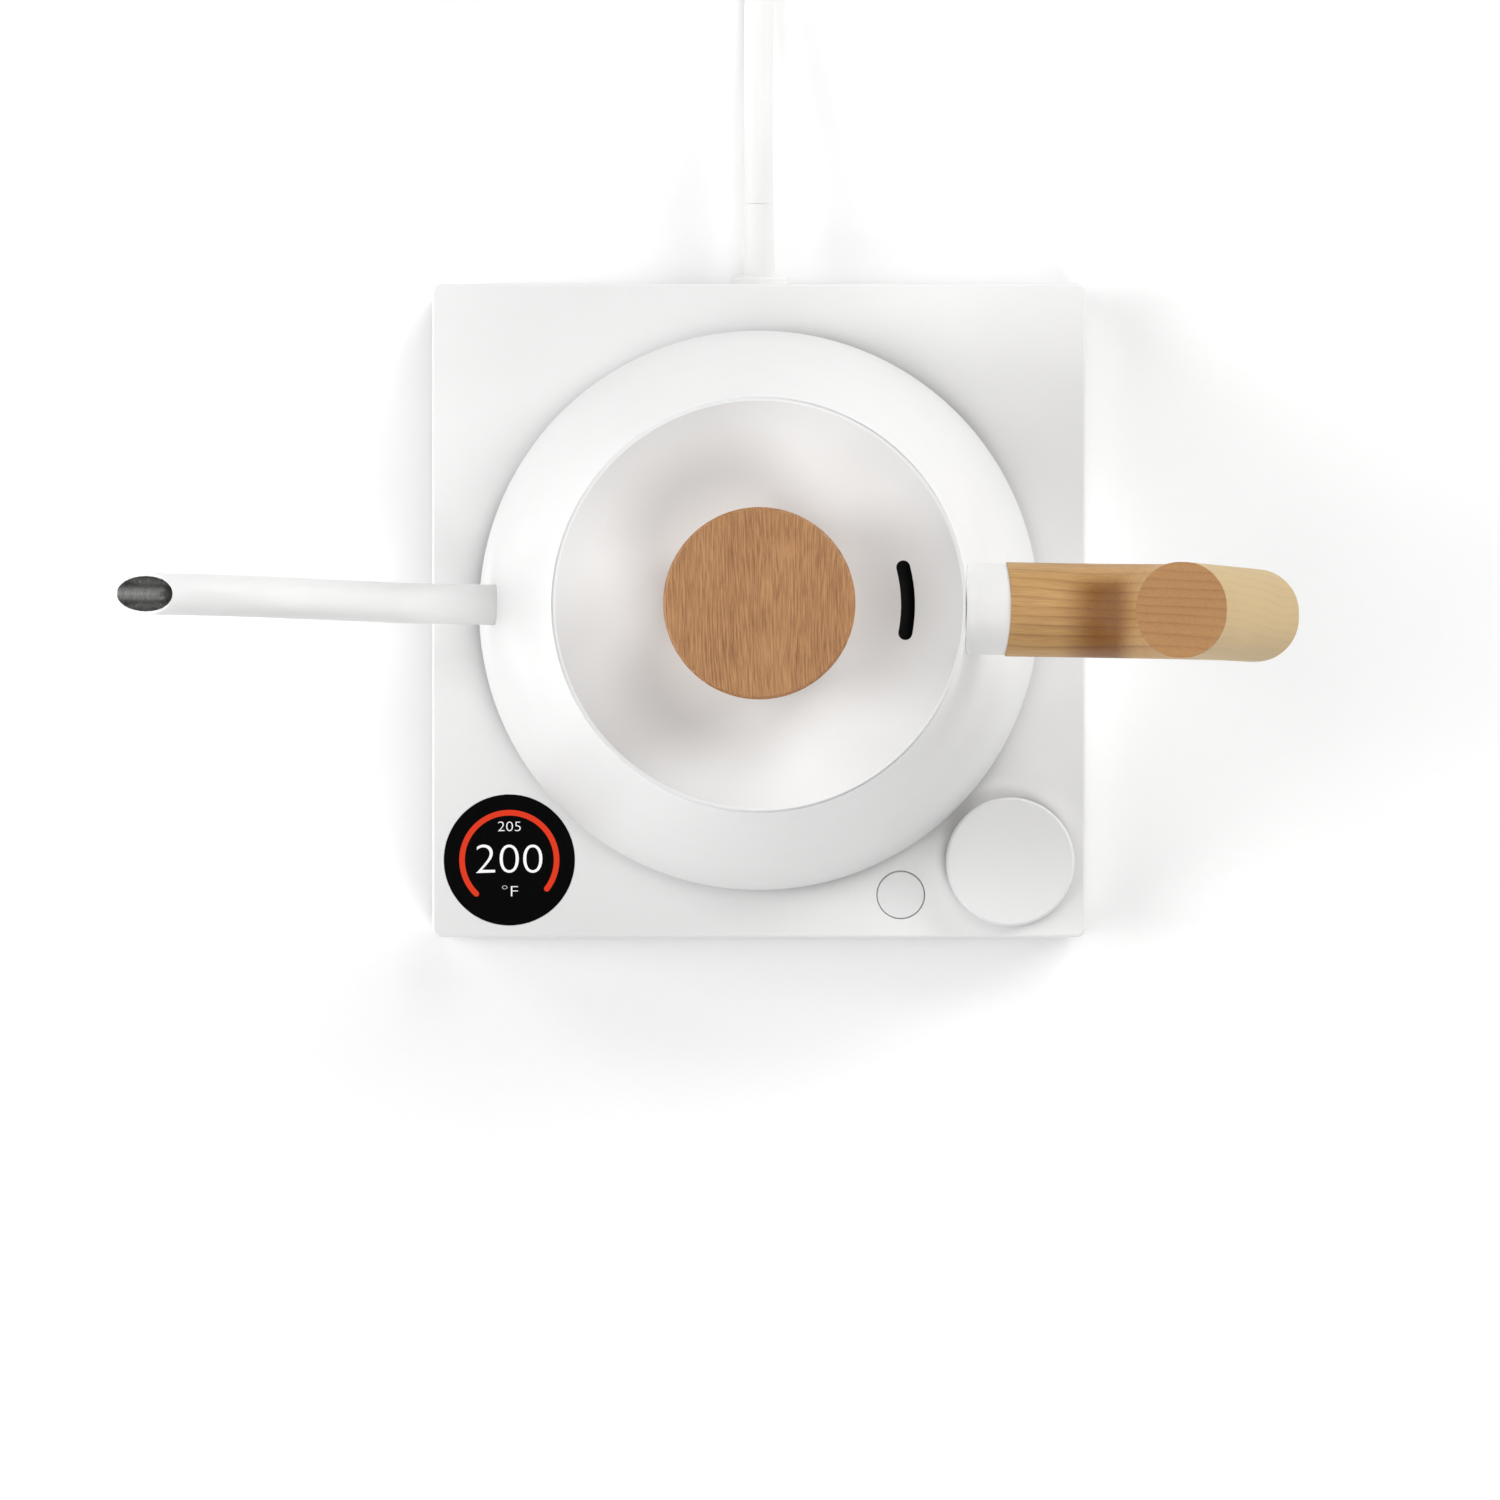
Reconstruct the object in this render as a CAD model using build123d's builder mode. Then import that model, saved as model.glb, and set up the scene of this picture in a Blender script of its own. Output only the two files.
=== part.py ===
"""Electric gooseneck kettle standing on its square heating base.

Millimetres, +Z up. The origin is the centre of the base's footprint on the table. The spout points
to -X, the handle to +X, the controls face -Y and the mains cord leaves at the rear, +Y.
"""
from build123d import *
from math import cos, pi, radians, sin, sqrt, tan
import os

# ---------------------------------------------------------------- driving dimensions: the base
base_side = 170.0            # square base, side to side
base_top = 40.0              # table to the top of the base
base_corner = 2.4            # radius of the four upright corners
base_edge = 0.8              # rounding of the top edge
base_wall = 2.4
base_plate = 2.5             # thickness of the housing's top
base_gap = 2.0               # table to the lower edge of the housing
cover_thickness = 2.4
cover_clearance = 0.3
foot_width = 8.0
foot_inset = 10.0            # base edge to the outside of the foot ring
foot_corner = 14.0
foot_groove = 1.0            # depth of the ring's groove in the bottom cover
foot_clearance = 0.1
slot_length = 16.0           # cooling slots in the bottom cover
slot_width = 2.4
slot_pitch = 7.0
slot_rows_apart = 68.0
slots_in_row = 7
boss_radius = 4.0
boss_foot_gap = 6.0          # foot ring to the middle of a screw boss
boss_offset = 26.0
post_radius = 2.6
board_edge_gap = 5.0         # base's front to the front of the control board
board_depth = 33.0
board_side_gap = 3.0
board_thickness = 1.6
board_top = 23.6
post_margin = 4.0            # board edge to the middle of a post
left_post = -40.0
right_post = 42.0
power_board_size = (108.0, 30.0)
power_board_inset = 39.0     # base's rear to the middle of the power board
power_board_level = 10.0
power_post_margin = 5.0
power_corner = 1.0           # small roundings of the parts on the boards

# ---------------------------------------------------------------- driving dimensions: screws
screw_fit = 0.05
cover_screw_radius = 1.25
cover_head = (2.9, 1.2)      # radius and height
cover_screw_length = 10.0
cover_screw_hole = 12.0
board_screw_radius = 1.0
board_head = (1.9, 1.3)
board_screw_grip = 6.0       # how far a board screw enters its post
board_screw_hole = 7.0
power_screw_grip = 4.0
socket_head = (2.2, 1.6)
socket_screw_share = 0.6     # share of the top plate that a socket screw enters
socket_hole_share = 0.7
handle_screw_radius = 1.5
handle_head = (2.9, 2.0)
skirt_screw_radius = 1.25
skirt_head = (2.6, 1.5)
skirt_screw_length = 8.0
knob_screw_radius = 2.5
knob_head = (4.5, 3.0)
head_clearance = 0.2
socket_width_share = 0.5     # hex socket's size as a share of its screw's head
socket_depth_share = 0.6

# ---------------------------------------------------------------- driving dimensions: the controls
display_edge_gap = 3.1       # base edge to the display window
display_body_gap = 2.1       # display window to the kettle's bottom circle, seen from above
glass_thickness = 1.8
glass_clearance = 0.1
glass_ledge = 1.5
module_height = 5.2
module_clearance = 0.2
module_plug = (14.0, 8.0)    # connector block under the module
dial_edge_gap = 3.0
dial_body_gap = 3.0
dial_height = 5.0
dial_lift = 1.0              # base top to the underside of the dial
dial_dish = 0.35             # hollow in the dial's top
dial_skin = 1.6
dial_travel = 0.6
dial_hub = 6.0
dial_wall = 2.0
dial_edge = 0.6
shaft_radius = 3.0
shaft_chamfer = 0.4
shaft_rise = 1.6             # board to the shaft's lower end
shaft_end_gap = 0.3
bushing_wall = 1.1
bushing_clearance = 0.3
bushing_over_plate = 1.0     # plate's underside to the bushing's top
shaft_fit = 0.06             # running fit of the encoder shaft
encoder_side = 12.5
encoder_height = 6.5
button_diameter = 12.24
button_clearance = 0.2
button_dial_gap = 5.6
button_front_gap = 4.9
button_proud = 0.1           # button's top over the base
button_chamfer = 0.3
button_rest_gap = 0.15       # flange to the underside of the top plate
button_stem = 2.0
button_flange = 1.2
button_flange_step = 1.0
button_travel = 0.6
switch_side = 6.2
switch_height = 3.6
plunger_radius = 1.7
plunger_fit = 0.08
plunger_over_switch = 1.4
plunger_floor_gap = 0.4
sounder_x = -22.0
sounder_inset = 12.0         # board's back to the middle of the sounder
sounder_radius = 6.0
sounder_height = 7.5
sounder_hole = (1.0, 1.5)    # radius and depth

# ---------------------------------------------------------------- driving dimensions: the kettle
kettle_turn = -0.95          # degrees the kettle stands turned about the connector, seen from above
kettle_margin = 12.3         # base edge to the kettle's bottom circle
kettle_bottom = 43.5         # table to the lower edge of the steel body
body_height = 119.0
rim_diameter = 103.0
body_wall = 0.9
floor_rise = 13.5            # lower edge of the body to the inside floor
floor_thickness = 1.0
seat_gap = 0.3               # base top to the kettle's own foot
weld_gap = 0.05
skirt_rise = 0.4             # lower edge of the body to the skirt
skirt_thickness = 2.0
skirt_clearance = 0.5
skirt_taper = 0.3
foot_outer_step = 1.5        # skirt's edge to the kettle's own foot
foot_inner_step = 6.0
stud_radius = 3.5
stud_hole_depth = 8.0
stud_inset = 15.0            # bottom circle to the middle of a screw stud

spout_diameter = 10.4
spout_wall = 0.8
spout_rise = 24.5            # lower edge of the body to the middle of the spout's root
spout_elbow_reach = 17.3     # bottom circle to the lower bend
spout_neck_reach = 60.3      # bottom circle to the upper bend
spout_reach = 87.3           # bottom circle to the pouring lip
spout_over_rim = 13.0        # rim to the middle of the spout's mouth
spout_droop = 0.6            # fall of the spout's last stretch
spout_cut = 14.5             # length of the oblique cut, along the spout
lower_bend_radius = 22.0
upper_bend_radius = 24.0
spout_root_entry = 1.5       # how far the tube reaches inside the wall
spout_end_spare = 3.0        # tube left past the lip before the oblique cut
spout_hole_inset = 6.0
spout_hole_depth = 14.0

arm_width = 23.6
arm_thickness = 23.0
arm_below_rim = 1.6          # lid edge to the top of the arm
bracket_reach = 11.4         # rim to the joint between bracket and wood
bracket_trim = 0.35          # how far the bracket stands in from the wood all round
bracket_root = 4.0           # how far the bracket's block starts inside the rim
bracket_flat = 0.3           # flat left between the bracket's side roundings
bracket_spare = 20.0         # block cut off round the joint
cone_spare = (10.0, 5.0)     # how far the fit to the cone runs past the arm, below and above
tongue_root = 3.0
first_screw = 7.0            # joint to the two handle screws
second_screw = 16.0
tongue_width = 12.0
tongue_thickness = 9.0
tongue_length = 22.0
tongue_clearance = 0.1
grip_thickness = 23.8
grip_reach = 52.6            # rim to the middle of the grip's top
grip_over_rim = 33.5         # rim to the middle of the grip's top face
grip_tilt = 13.5             # degrees the grip leans, foot outwards
grip_face_tilt = 27.0        # degrees the grip's top face leans towards the lid
grip_length = 95.2
saddle_radius = 17.0
finger_radius = 12.0
handle_rounding = 11.2       # rounding that makes arm and grip nearly round
grip_end_rounding = 3.0
wood_overlap = 3.0           # blank left past the joint before it is cut to the bracket
tongue_slot_start = 2.0
handle_counterbore = 3.0
handle_screw_spare = 0.5

mouth_ring_height = 9.0
mouth_ring_step = 2.4        # how far the ring's ledge stands in from the wall
mouth_ring_wall = 0.9
mouth_ring_ledge = 1.2
lid_clearance = 0.3          # lid edge to the body's rim under it
lid_sheet = 1.2
lid_edge = 2.6               # thickness of the lid's rim
lid_flat = 0.6               # narrow flat band round the dished top
lid_land_margin = 0.1        # how far the rim's underside reaches inside the mouth ring
lid_dish = 7.0               # depth of the dished top
insert_depth = 15.0          # lid edge to the underside of the lid insert
insert_wall = 0.8
insert_hole_radius = 2.6
insert_hole_share = 0.62     # share of the cup's radius at which its steam holes stand
insert_holes = 8
insert_centre_hole = 6.0
gasket_width = 1.6
gasket_fit = 0.08
gasket_height = 6.0
gasket_lip = 1.0
gasket_lip_depth = 0.8
gasket_lip_inset = 0.6
gasket_gap = 0.3
vent_radius = 37.2
vent_width = 3.5
vent_centre = 1.8            # degrees from +X
vent_span = 25.5             # degrees between the centres of the slot's ends
knob_diameter = 47.6
knob_foot_diameter = 41.0
knob_over_rim = 25.5
knob_chamfer = 0.7
knob_band = 4.0              # upright band under the knob's chamfer
knob_seat_margin = 1.0
knob_bore_depth = 15.0
knob_bore_spare = 1.0

# ---------------------------------------------------------------- driving dimensions: the power path
plug_boss_radius = 15.8      # round boss that the kettle drops onto
plug_boss_height = 9.5
plug_flange_radius = 25.0
plug_flange_height = 3.0
plug_boss_rounding = 1.0
plug_boss_foot = 26.0        # table to the lower end of the boss
plug_hole_clearance = 0.2
flange_screw_step = 5.2      # boss to the flange screws
socket_bore_depth = 8.0
socket_ring_slot = 9.5       # radius of the annular slot's middle
socket_slot_half = 1.0
sleeve_wall = 0.8
sleeve_length = 6.5
ring_contact_inset = 0.3     # slot's middle to the ring contact
ring_contact_length = 5.0
ring_blade = (0.05, 0.55)    # slot's middle to the kettle's ring contact, inside and outside
ring_blade_length = 4.5
connector_clearance = 0.4
connector_wall = 5.6
connector_roof = 1.9
contact_pin_radius = 1.8
contact_pin_clearance = 0.3
contact_pin_length = 7.0
connector_rise = 1.0         # base top to the connector's lower edge
connector_chamfer = 0.8
plate_thickness = 3.0
plate_stud_gap = 1.0
element_diameter = 7.0
element_circle = 45.0
element_arc = 305.0          # degrees of the ring that the heating tube fills
sensor_radius = 3.0
sensor_length = 6.0
sensor_gap = 7.5             # connector to the middle of the sensor
sensor_ear = (12.0, 5.0)
sensor_ear_thickness = 1.2
relay_size = (19.0, 15.5, 15.0)
relay_x = -34.0              # places on the power board, from its middle
relay_chamfer = 0.5
transformer_x = -8.0
transformer_core = (18.0, 20.0)
transformer_winding = (14.0, 17.0)
transformer_layers = (4.0, 8.0, 3.0)
winding_corner = 2.0
capacitor_x = 10.0
capacitor_pitch = 11.5
capacitor_radius = 4.8
capacitor_height = 14.0
terminal_offset = (32.0, 4.0)
terminal_size = (20.0, 10.0, 10.0)
terminal_pitch = 6.0
terminal_hole = (2.0, 5.0)   # radius and depth
lead_radius = 0.9
lead_pitch = 2.5
lead_end_level = 4.0         # power board to the middle of a lead at the terminal block
lead_end_gap = 1.0

# ---------------------------------------------------------------- driving dimensions: the cord
cord_diameter = 7.7
cord_height = 11.0           # table to the middle of the cord's exit
relief_flange = 14.7
relief_flange_length = 2.9
relief_length = 22.0         # flange and tapered sleeve together
relief_neck = 5.2
relief_rounding = 0.9
relief_wall = (0.4, 0.1)     # sleeve over the cord, at the flange and at the end
inner_cord_length = 16.0
clamp_inset = 9.0            # rear wall to the middle of the clamp
clamp_size = (24.0, 7.0)
clamp_bridge = 2.5           # clamp over the cord
coil_radius = 43.0
coil_turns = 2.25
coil_climb = 60.0            # degrees over which a turn climbs onto the one below
coil_beyond_relief = 111.0   # strain relief's end to the middle of the coil
coil_rounding_share = 0.6    # rounding of the coil's edges as a share of the cord's radius
tie_thickness = 0.6
tie_width = 6.0
tie_play = (0.2, 0.1)
tie_corner = 2.0
plug_width = 26.0
plug_height = 25.0
plug_length = 28.0
plug_relief = 18.0
plug_corner = 6.0
plug_back_rounding = 4.0
plug_face_rounding = 0.8
plug_relief_radius = 7.0
plug_relief_entry = 1.0
plug_relief_wall = 0.5
pin_spacing = 12.7
ground_drop = 11.9
blade_offset = 3.6           # plug's middle to the middle of the blades
blade_size = (1.5, 6.35)
blade_length = 17.0
ground_pin_radius = 2.4
ground_pin_length = 19.5

os.makedirs("parts", exist_ok=True)

# ---------------------------------------------------------------- shared places
half_side = base_side / 2
body_radius = half_side - kettle_margin
rim_radius = rim_diameter / 2
rim_height = kettle_bottom + body_height
body_top = rim_height - lid_edge - lid_clearance
cone_slope = (body_radius - rim_radius) / body_height
wall_across = body_wall * sqrt(1 + cone_slope ** 2)
cover_top = base_gap + cover_thickness
plate_under = base_top - base_plate
cord_radius = cord_diameter / 2

kettle_frame = Plane.XY.rotated((0, 0, kettle_turn))
kettle_side = Plane(origin=(0, 0, 0), x_dir=kettle_frame.x_dir, z_dir=-kettle_frame.y_dir)


def kettle_level(height):
    """The kettle's own level plane, at a height over the table."""
    return kettle_frame.offset(height)


def outer_radius(height):
    """Radius of the body's outside at a height over the table."""
    return body_radius - cone_slope * (height - kettle_bottom)


def inner_radius(height):
    """Radius of the body's inside at a height over the table."""
    return outer_radius(height) - wall_across


def corner_circle(edge_gap, body_gap):
    """Radius of a round control that fills the corner between the base's edge and the kettle."""
    return (sqrt(2) * (half_side - edge_gap) - body_radius - body_gap) / (1 + sqrt(2))


def screw(head_radius, head_height, shank_radius, shank_length):
    """A hex-socket screw that stands on its head's underside: head below z=0, shank above it."""
    with BuildPart() as fastener:
        with BuildSketch(Plane.XY.offset(-head_height)):
            Circle(head_radius)
        extrude(amount=head_height)
        with BuildSketch(Plane.XY.offset(-head_height)):
            RegularPolygon(head_radius * socket_width_share, 6)
        extrude(amount=head_height * socket_depth_share, mode=Mode.SUBTRACT)
        with BuildSketch(Plane.XY):
            Circle(shank_radius)
        extrude(amount=shank_length)
    return fastener.part


def save(piece, name):
    """Label a finished piece and write its STEP file."""
    piece.label = name
    export_step(piece, f"parts/{name}.step")


# ================================================================ BASE
display_radius = corner_circle(display_edge_gap, display_body_gap)
display_offset = half_side - display_edge_gap - display_radius
display_at = (-display_offset, -display_offset)
dial_radius = corner_circle(dial_edge_gap, dial_body_gap)
dial_offset = half_side - dial_edge_gap - dial_radius
dial_at = (dial_offset, -dial_offset)
button_radius = button_diameter / 2
button_at = (
    dial_offset - dial_radius - button_dial_gap - button_radius,
    -(half_side - button_front_gap - button_radius),
)
boss_at = (half_side - foot_inset - foot_width - boss_foot_gap, boss_offset)
board_front = half_side - board_edge_gap
board_back = board_front - board_depth
posts_at = [
    (left_post, -(board_back + post_margin)),
    (0.0, -(board_front - post_margin)),
    (right_post, -(board_back + post_margin)),
]
bushing_radius = shaft_radius + bushing_wall
flange_screw_circle = plug_boss_radius + flange_screw_step

# Base housing: one die-cast shell, open below, with its screw bosses and board posts.
with BuildPart() as base_housing:
    with BuildSketch(Plane.XY.offset(base_gap)):
        RectangleRounded(base_side, base_side, base_corner)
    extrude(amount=base_top - base_gap)
    fillet(base_housing.faces().sort_by(Axis.Z)[-1].edges(), base_edge)
    with BuildSketch(Plane.XY.offset(base_gap)):
        Rectangle(base_side - 2 * base_wall, base_side - 2 * base_wall)
    extrude(amount=plate_under - base_gap, mode=Mode.SUBTRACT)
    with BuildSketch(Plane.XY.offset(cover_top)):
        with GridLocations(2 * boss_at[0], 2 * boss_at[1], 2, 2):
            Circle(boss_radius)
    extrude(amount=plate_under - cover_top)
    with BuildSketch(Plane.XY.offset(cover_top)):
        with GridLocations(2 * boss_at[0], 2 * boss_at[1], 2, 2):
            Circle(cover_screw_radius + screw_fit)
    extrude(amount=cover_screw_hole, mode=Mode.SUBTRACT)
    with BuildSketch(Plane.XY.offset(board_top)):
        with Locations(*posts_at):
            Circle(post_radius)
    extrude(amount=plate_under - board_top)
    with BuildSketch(Plane.XY.offset(board_top)):
        with Locations(*posts_at):
            Circle(board_screw_radius + screw_fit)
    extrude(amount=board_screw_hole, mode=Mode.SUBTRACT)
    # the centre hole for the power socket, and the blind holes for its screws
    with BuildSketch(Plane.XY.offset(plate_under)):
        Circle(plug_boss_radius + plug_hole_clearance)
    extrude(amount=base_plate, mode=Mode.SUBTRACT)
    with BuildSketch(Plane.XY.offset(plate_under)):
        with PolarLocations(flange_screw_circle, 3, start_angle=90):
            Circle(board_screw_radius + screw_fit)
    extrude(amount=base_plate * socket_hole_share, mode=Mode.SUBTRACT)
    # the stepped display window
    with BuildSketch(Plane.XY.offset(plate_under)):
        with Locations(display_at):
            Circle(display_radius - glass_ledge)
    extrude(amount=base_plate, mode=Mode.SUBTRACT)
    with BuildSketch(Plane.XY.offset(base_top - glass_thickness)):
        with Locations(display_at):
            Circle(display_radius + glass_clearance)
    extrude(amount=glass_thickness, mode=Mode.SUBTRACT)
    # the holes for the dial's bushing and the button
    with BuildSketch(Plane.XY.offset(plate_under)):
        with Locations(dial_at):
            Circle(bushing_radius + bushing_clearance)
        with Locations(button_at):
            Circle(button_radius + button_clearance)
    extrude(amount=base_plate, mode=Mode.SUBTRACT)
    # the cord's hole through the rear wall
    with BuildSketch(Plane.XZ.offset(-half_side)):
        with Locations((0, cord_height)):
            Circle(relief_neck + screw_fit)
    extrude(amount=base_wall, mode=Mode.SUBTRACT)
save(base_housing.part, "base_housing")

# Bottom cover: a moulded plate inside the housing's lower edge, with posts for the power board.
cover_side = base_side - 2 * (base_wall + cover_clearance)
foot_outer = base_side - 2 * foot_inset
power_board_at = (0.0, half_side - power_board_inset)
power_posts = (power_board_size[0] - 2 * power_post_margin, power_board_size[1] - 2 * power_post_margin)
with BuildPart() as base_bottom_cover:
    with BuildSketch(Plane.XY.offset(base_gap)):
        Rectangle(cover_side, cover_side)
    extrude(amount=cover_thickness)
    with BuildSketch(Plane.XY.offset(base_gap)):
        RectangleRounded(foot_outer + 2 * foot_clearance, foot_outer + 2 * foot_clearance,
                         foot_corner + foot_clearance)
        RectangleRounded(foot_outer - 2 * foot_width - 2 * foot_clearance,
                         foot_outer - 2 * foot_width - 2 * foot_clearance,
                         foot_corner - foot_width - foot_clearance, mode=Mode.SUBTRACT)
    extrude(amount=foot_groove, mode=Mode.SUBTRACT)
    with BuildSketch(Plane.XY.offset(base_gap)):
        with GridLocations(2 * boss_at[0], 2 * boss_at[1], 2, 2):
            Circle(cover_screw_radius + screw_fit)
    extrude(amount=cover_thickness, mode=Mode.SUBTRACT)
    with BuildSketch(Plane.XY.offset(base_gap)):
        with GridLocations(2 * boss_at[0], 2 * boss_at[1], 2, 2):
            Circle(cover_head[0] + head_clearance)
    extrude(amount=cover_head[1] + head_clearance, mode=Mode.SUBTRACT)
    with BuildSketch(Plane.XY.offset(cover_top)):
        with Locations(power_board_at):
            with GridLocations(*power_posts, 2, 2):
                Circle(post_radius)
    extrude(amount=power_board_level - cover_top)
    with BuildSketch(Plane.XY.offset(cover_top)):
        with Locations(power_board_at):
            with GridLocations(*power_posts, 2, 2):
                Circle(board_screw_radius + screw_fit)
    extrude(amount=power_board_level - cover_top, mode=Mode.SUBTRACT)
    # a row of cooling slots on each side of the middle
    with BuildSketch(Plane.XY.offset(base_gap)):
        with GridLocations(slot_pitch, slot_rows_apart, slots_in_row, 2):
            SlotOverall(slot_length, slot_width, rotation=90)
    extrude(amount=cover_thickness, mode=Mode.SUBTRACT)
save(base_bottom_cover.part, "base_bottom_cover")

# Foot ring: one moulded silicone ring pressed into the bottom cover's groove.
with BuildPart() as foot_ring:
    with BuildSketch(Plane.XY):
        RectangleRounded(foot_outer, foot_outer, foot_corner)
        RectangleRounded(foot_outer - 2 * foot_width, foot_outer - 2 * foot_width,
                         foot_corner - foot_width, mode=Mode.SUBTRACT)
    extrude(amount=base_gap + foot_groove)
save(foot_ring.part, "foot_ring")

# Cover screws: four, from below into the housing's bosses.
cover_screw = screw(*cover_head, cover_screw_radius, cover_screw_length)
with BuildPart() as cover_screws:
    with Locations((0, 0, base_gap + cover_head[1] + head_clearance)):
        with GridLocations(2 * boss_at[0], 2 * boss_at[1], 2, 2):
            add(cover_screw)
save(cover_screws.part, "cover_screws")

# Power socket: the round insulating boss in the middle of the base, flanged below the top plate.
socket_top = base_top + plug_boss_height
sleeve_bore = contact_pin_radius + contact_pin_clearance
with BuildPart() as power_socket:
    with BuildSketch(kettle_level(plate_under - plug_flange_height)):
        Circle(plug_flange_radius)
    extrude(amount=plug_flange_height)
    with BuildSketch(kettle_level(plug_boss_foot)):
        Circle(plug_boss_radius)
    extrude(amount=socket_top - plug_boss_foot)
    fillet(power_socket.faces().sort_by(Axis.Z)[-1].edges(), plug_boss_rounding)
    with BuildSketch(kettle_level(socket_top - socket_bore_depth)):
        Circle(socket_ring_slot + socket_slot_half)
        Circle(socket_ring_slot - socket_slot_half, mode=Mode.SUBTRACT)
        Circle(sleeve_bore + sleeve_wall)
    extrude(amount=socket_bore_depth, mode=Mode.SUBTRACT)
    with BuildSketch(Plane.XY.offset(plate_under - plug_flange_height)):
        with PolarLocations(flange_screw_circle, 3, start_angle=90):
            Circle(board_screw_radius + screw_fit)
    extrude(amount=plug_flange_height, mode=Mode.SUBTRACT)
save(power_socket.part, "power_socket")

# Socket contacts: a brass sleeve for the centre pin and a brass ring in the annular slot.
with BuildPart() as socket_contacts:
    with BuildSketch(kettle_level(socket_top - socket_bore_depth)):
        Circle(sleeve_bore + sleeve_wall - screw_fit)
        Circle(sleeve_bore, mode=Mode.SUBTRACT)
    extrude(amount=sleeve_length)
    with BuildSketch(kettle_level(socket_top - socket_bore_depth)):
        Circle(socket_ring_slot - ring_contact_inset)
        Circle(socket_ring_slot - socket_slot_half + screw_fit, mode=Mode.SUBTRACT)
    extrude(amount=ring_contact_length)
save(socket_contacts.part, "socket_contacts")

# Socket screws: three, from below through the flange into the top plate.
socket_screw = screw(*socket_head, board_screw_radius, plug_flange_height + base_plate * socket_screw_share)
with BuildPart() as socket_screws:
    with Locations((0, 0, plate_under - plug_flange_height)):
        with PolarLocations(flange_screw_circle, 3, start_angle=90):
            add(socket_screw)
save(socket_screws.part, "socket_screws")

# Control board: the printed circuit behind display, dial and button.
board_width = 2 * (half_side - base_wall - board_side_gap)
with BuildPart() as control_board:
    with BuildSketch(Plane.XY.offset(board_top - board_thickness)):
        with Locations((0, -(board_front + board_back) / 2)):
            Rectangle(board_width, board_front - board_back)
        with Locations(*posts_at):
            Circle(board_screw_radius + screw_fit, mode=Mode.SUBTRACT)
    extrude(amount=board_thickness)
save(control_board.part, "control_board")

board_screw = screw(*board_head, board_screw_radius, board_thickness + board_screw_grip)
with BuildPart() as board_screws:
    with Locations((0, 0, board_top - board_thickness)):
        with Locations(*posts_at):
            add(board_screw)
save(board_screws.part, "board_screws")

# Display: a round glass flush with the base, and the round screen module behind it.
with BuildPart() as display_glass:
    with BuildSketch(Plane.XY.offset(base_top - glass_thickness)):
        with Locations(display_at):
            Circle(display_radius)
    extrude(amount=glass_thickness)
save(display_glass.part, "display_glass")

module_top = base_top - glass_thickness
with BuildPart() as display_module:
    with BuildSketch(Plane.XY.offset(module_top - module_height)):
        with Locations(display_at):
            Circle(display_radius - glass_ledge - module_clearance)
    extrude(amount=module_height)
    with BuildSketch(Plane.XY.offset(board_top)):
        with Locations(display_at):
            Rectangle(*module_plug)
    extrude(amount=module_top - module_height - board_top)
save(display_module.part, "display_module")

# Dial encoder: a square body on the board with a round bushing for the shaft.
bushing_top = plate_under + bushing_over_plate
shaft_foot = board_top + shaft_rise
with BuildPart() as dial_encoder:
    with BuildSketch(Plane.XY.offset(board_top)):
        with Locations(dial_at):
            Rectangle(encoder_side, encoder_side)
    extrude(amount=encoder_height)
    with BuildSketch(Plane.XY.offset(board_top)):
        with Locations(dial_at):
            Circle(bushing_radius)
    extrude(amount=bushing_top - board_top)
    with BuildSketch(Plane.XY.offset(shaft_foot - dial_travel - shaft_end_gap)):
        with Locations(dial_at):
            Circle(shaft_radius + shaft_fit)
    extrude(amount=bushing_top, mode=Mode.SUBTRACT)
save(dial_encoder.part, "dial_encoder")

dial_under = base_top + dial_lift
dial_top = dial_under + dial_height
shaft_top = dial_top - dial_skin - shaft_end_gap
with BuildPart() as dial_shaft:
    with BuildSketch(Plane.XY.offset(shaft_foot)):
        with Locations(dial_at):
            Circle(shaft_radius)
    extrude(amount=shaft_top - shaft_foot)
    chamfer(dial_shaft.faces().sort_by(Axis.Z)[-1].edges(), shaft_chamfer)
save(dial_shaft.part, "dial_shaft")

# Dial cap: a shallow turned cap, slightly dished on top, hollow below, with a hub for the shaft.
with BuildPart() as dial_cap:
    with BuildSketch(Plane.XZ.offset(-dial_at[1])):
        with BuildLine():
            Line((dial_at[0], dial_under), (dial_at[0] + dial_radius, dial_under))
            Line((dial_at[0] + dial_radius, dial_under), (dial_at[0] + dial_radius, dial_top - dial_edge))
            Line((dial_at[0] + dial_radius, dial_top - dial_edge),
                 (dial_at[0] + dial_radius - dial_edge, dial_top))
            Line((dial_at[0] + dial_radius - dial_edge, dial_top),
                 (dial_at[0] + dial_hub, dial_top - dial_dish))
            Line((dial_at[0] + dial_hub, dial_top - dial_dish), (dial_at[0], dial_top - dial_dish))
            Line((dial_at[0], dial_top - dial_dish), (dial_at[0], dial_under))
        make_face()
    revolve(axis=Axis((dial_at[0], dial_at[1], 0), (0, 0, 1)))
    with BuildSketch(Plane.XY.offset(dial_under)):
        with Locations(dial_at):
            Circle(dial_radius - dial_wall)
            Circle(dial_hub, mode=Mode.SUBTRACT)
            Circle(shaft_radius + shaft_fit)
    extrude(amount=dial_height - dial_skin, mode=Mode.SUBTRACT)
save(dial_cap.part, "dial_cap")

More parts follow.
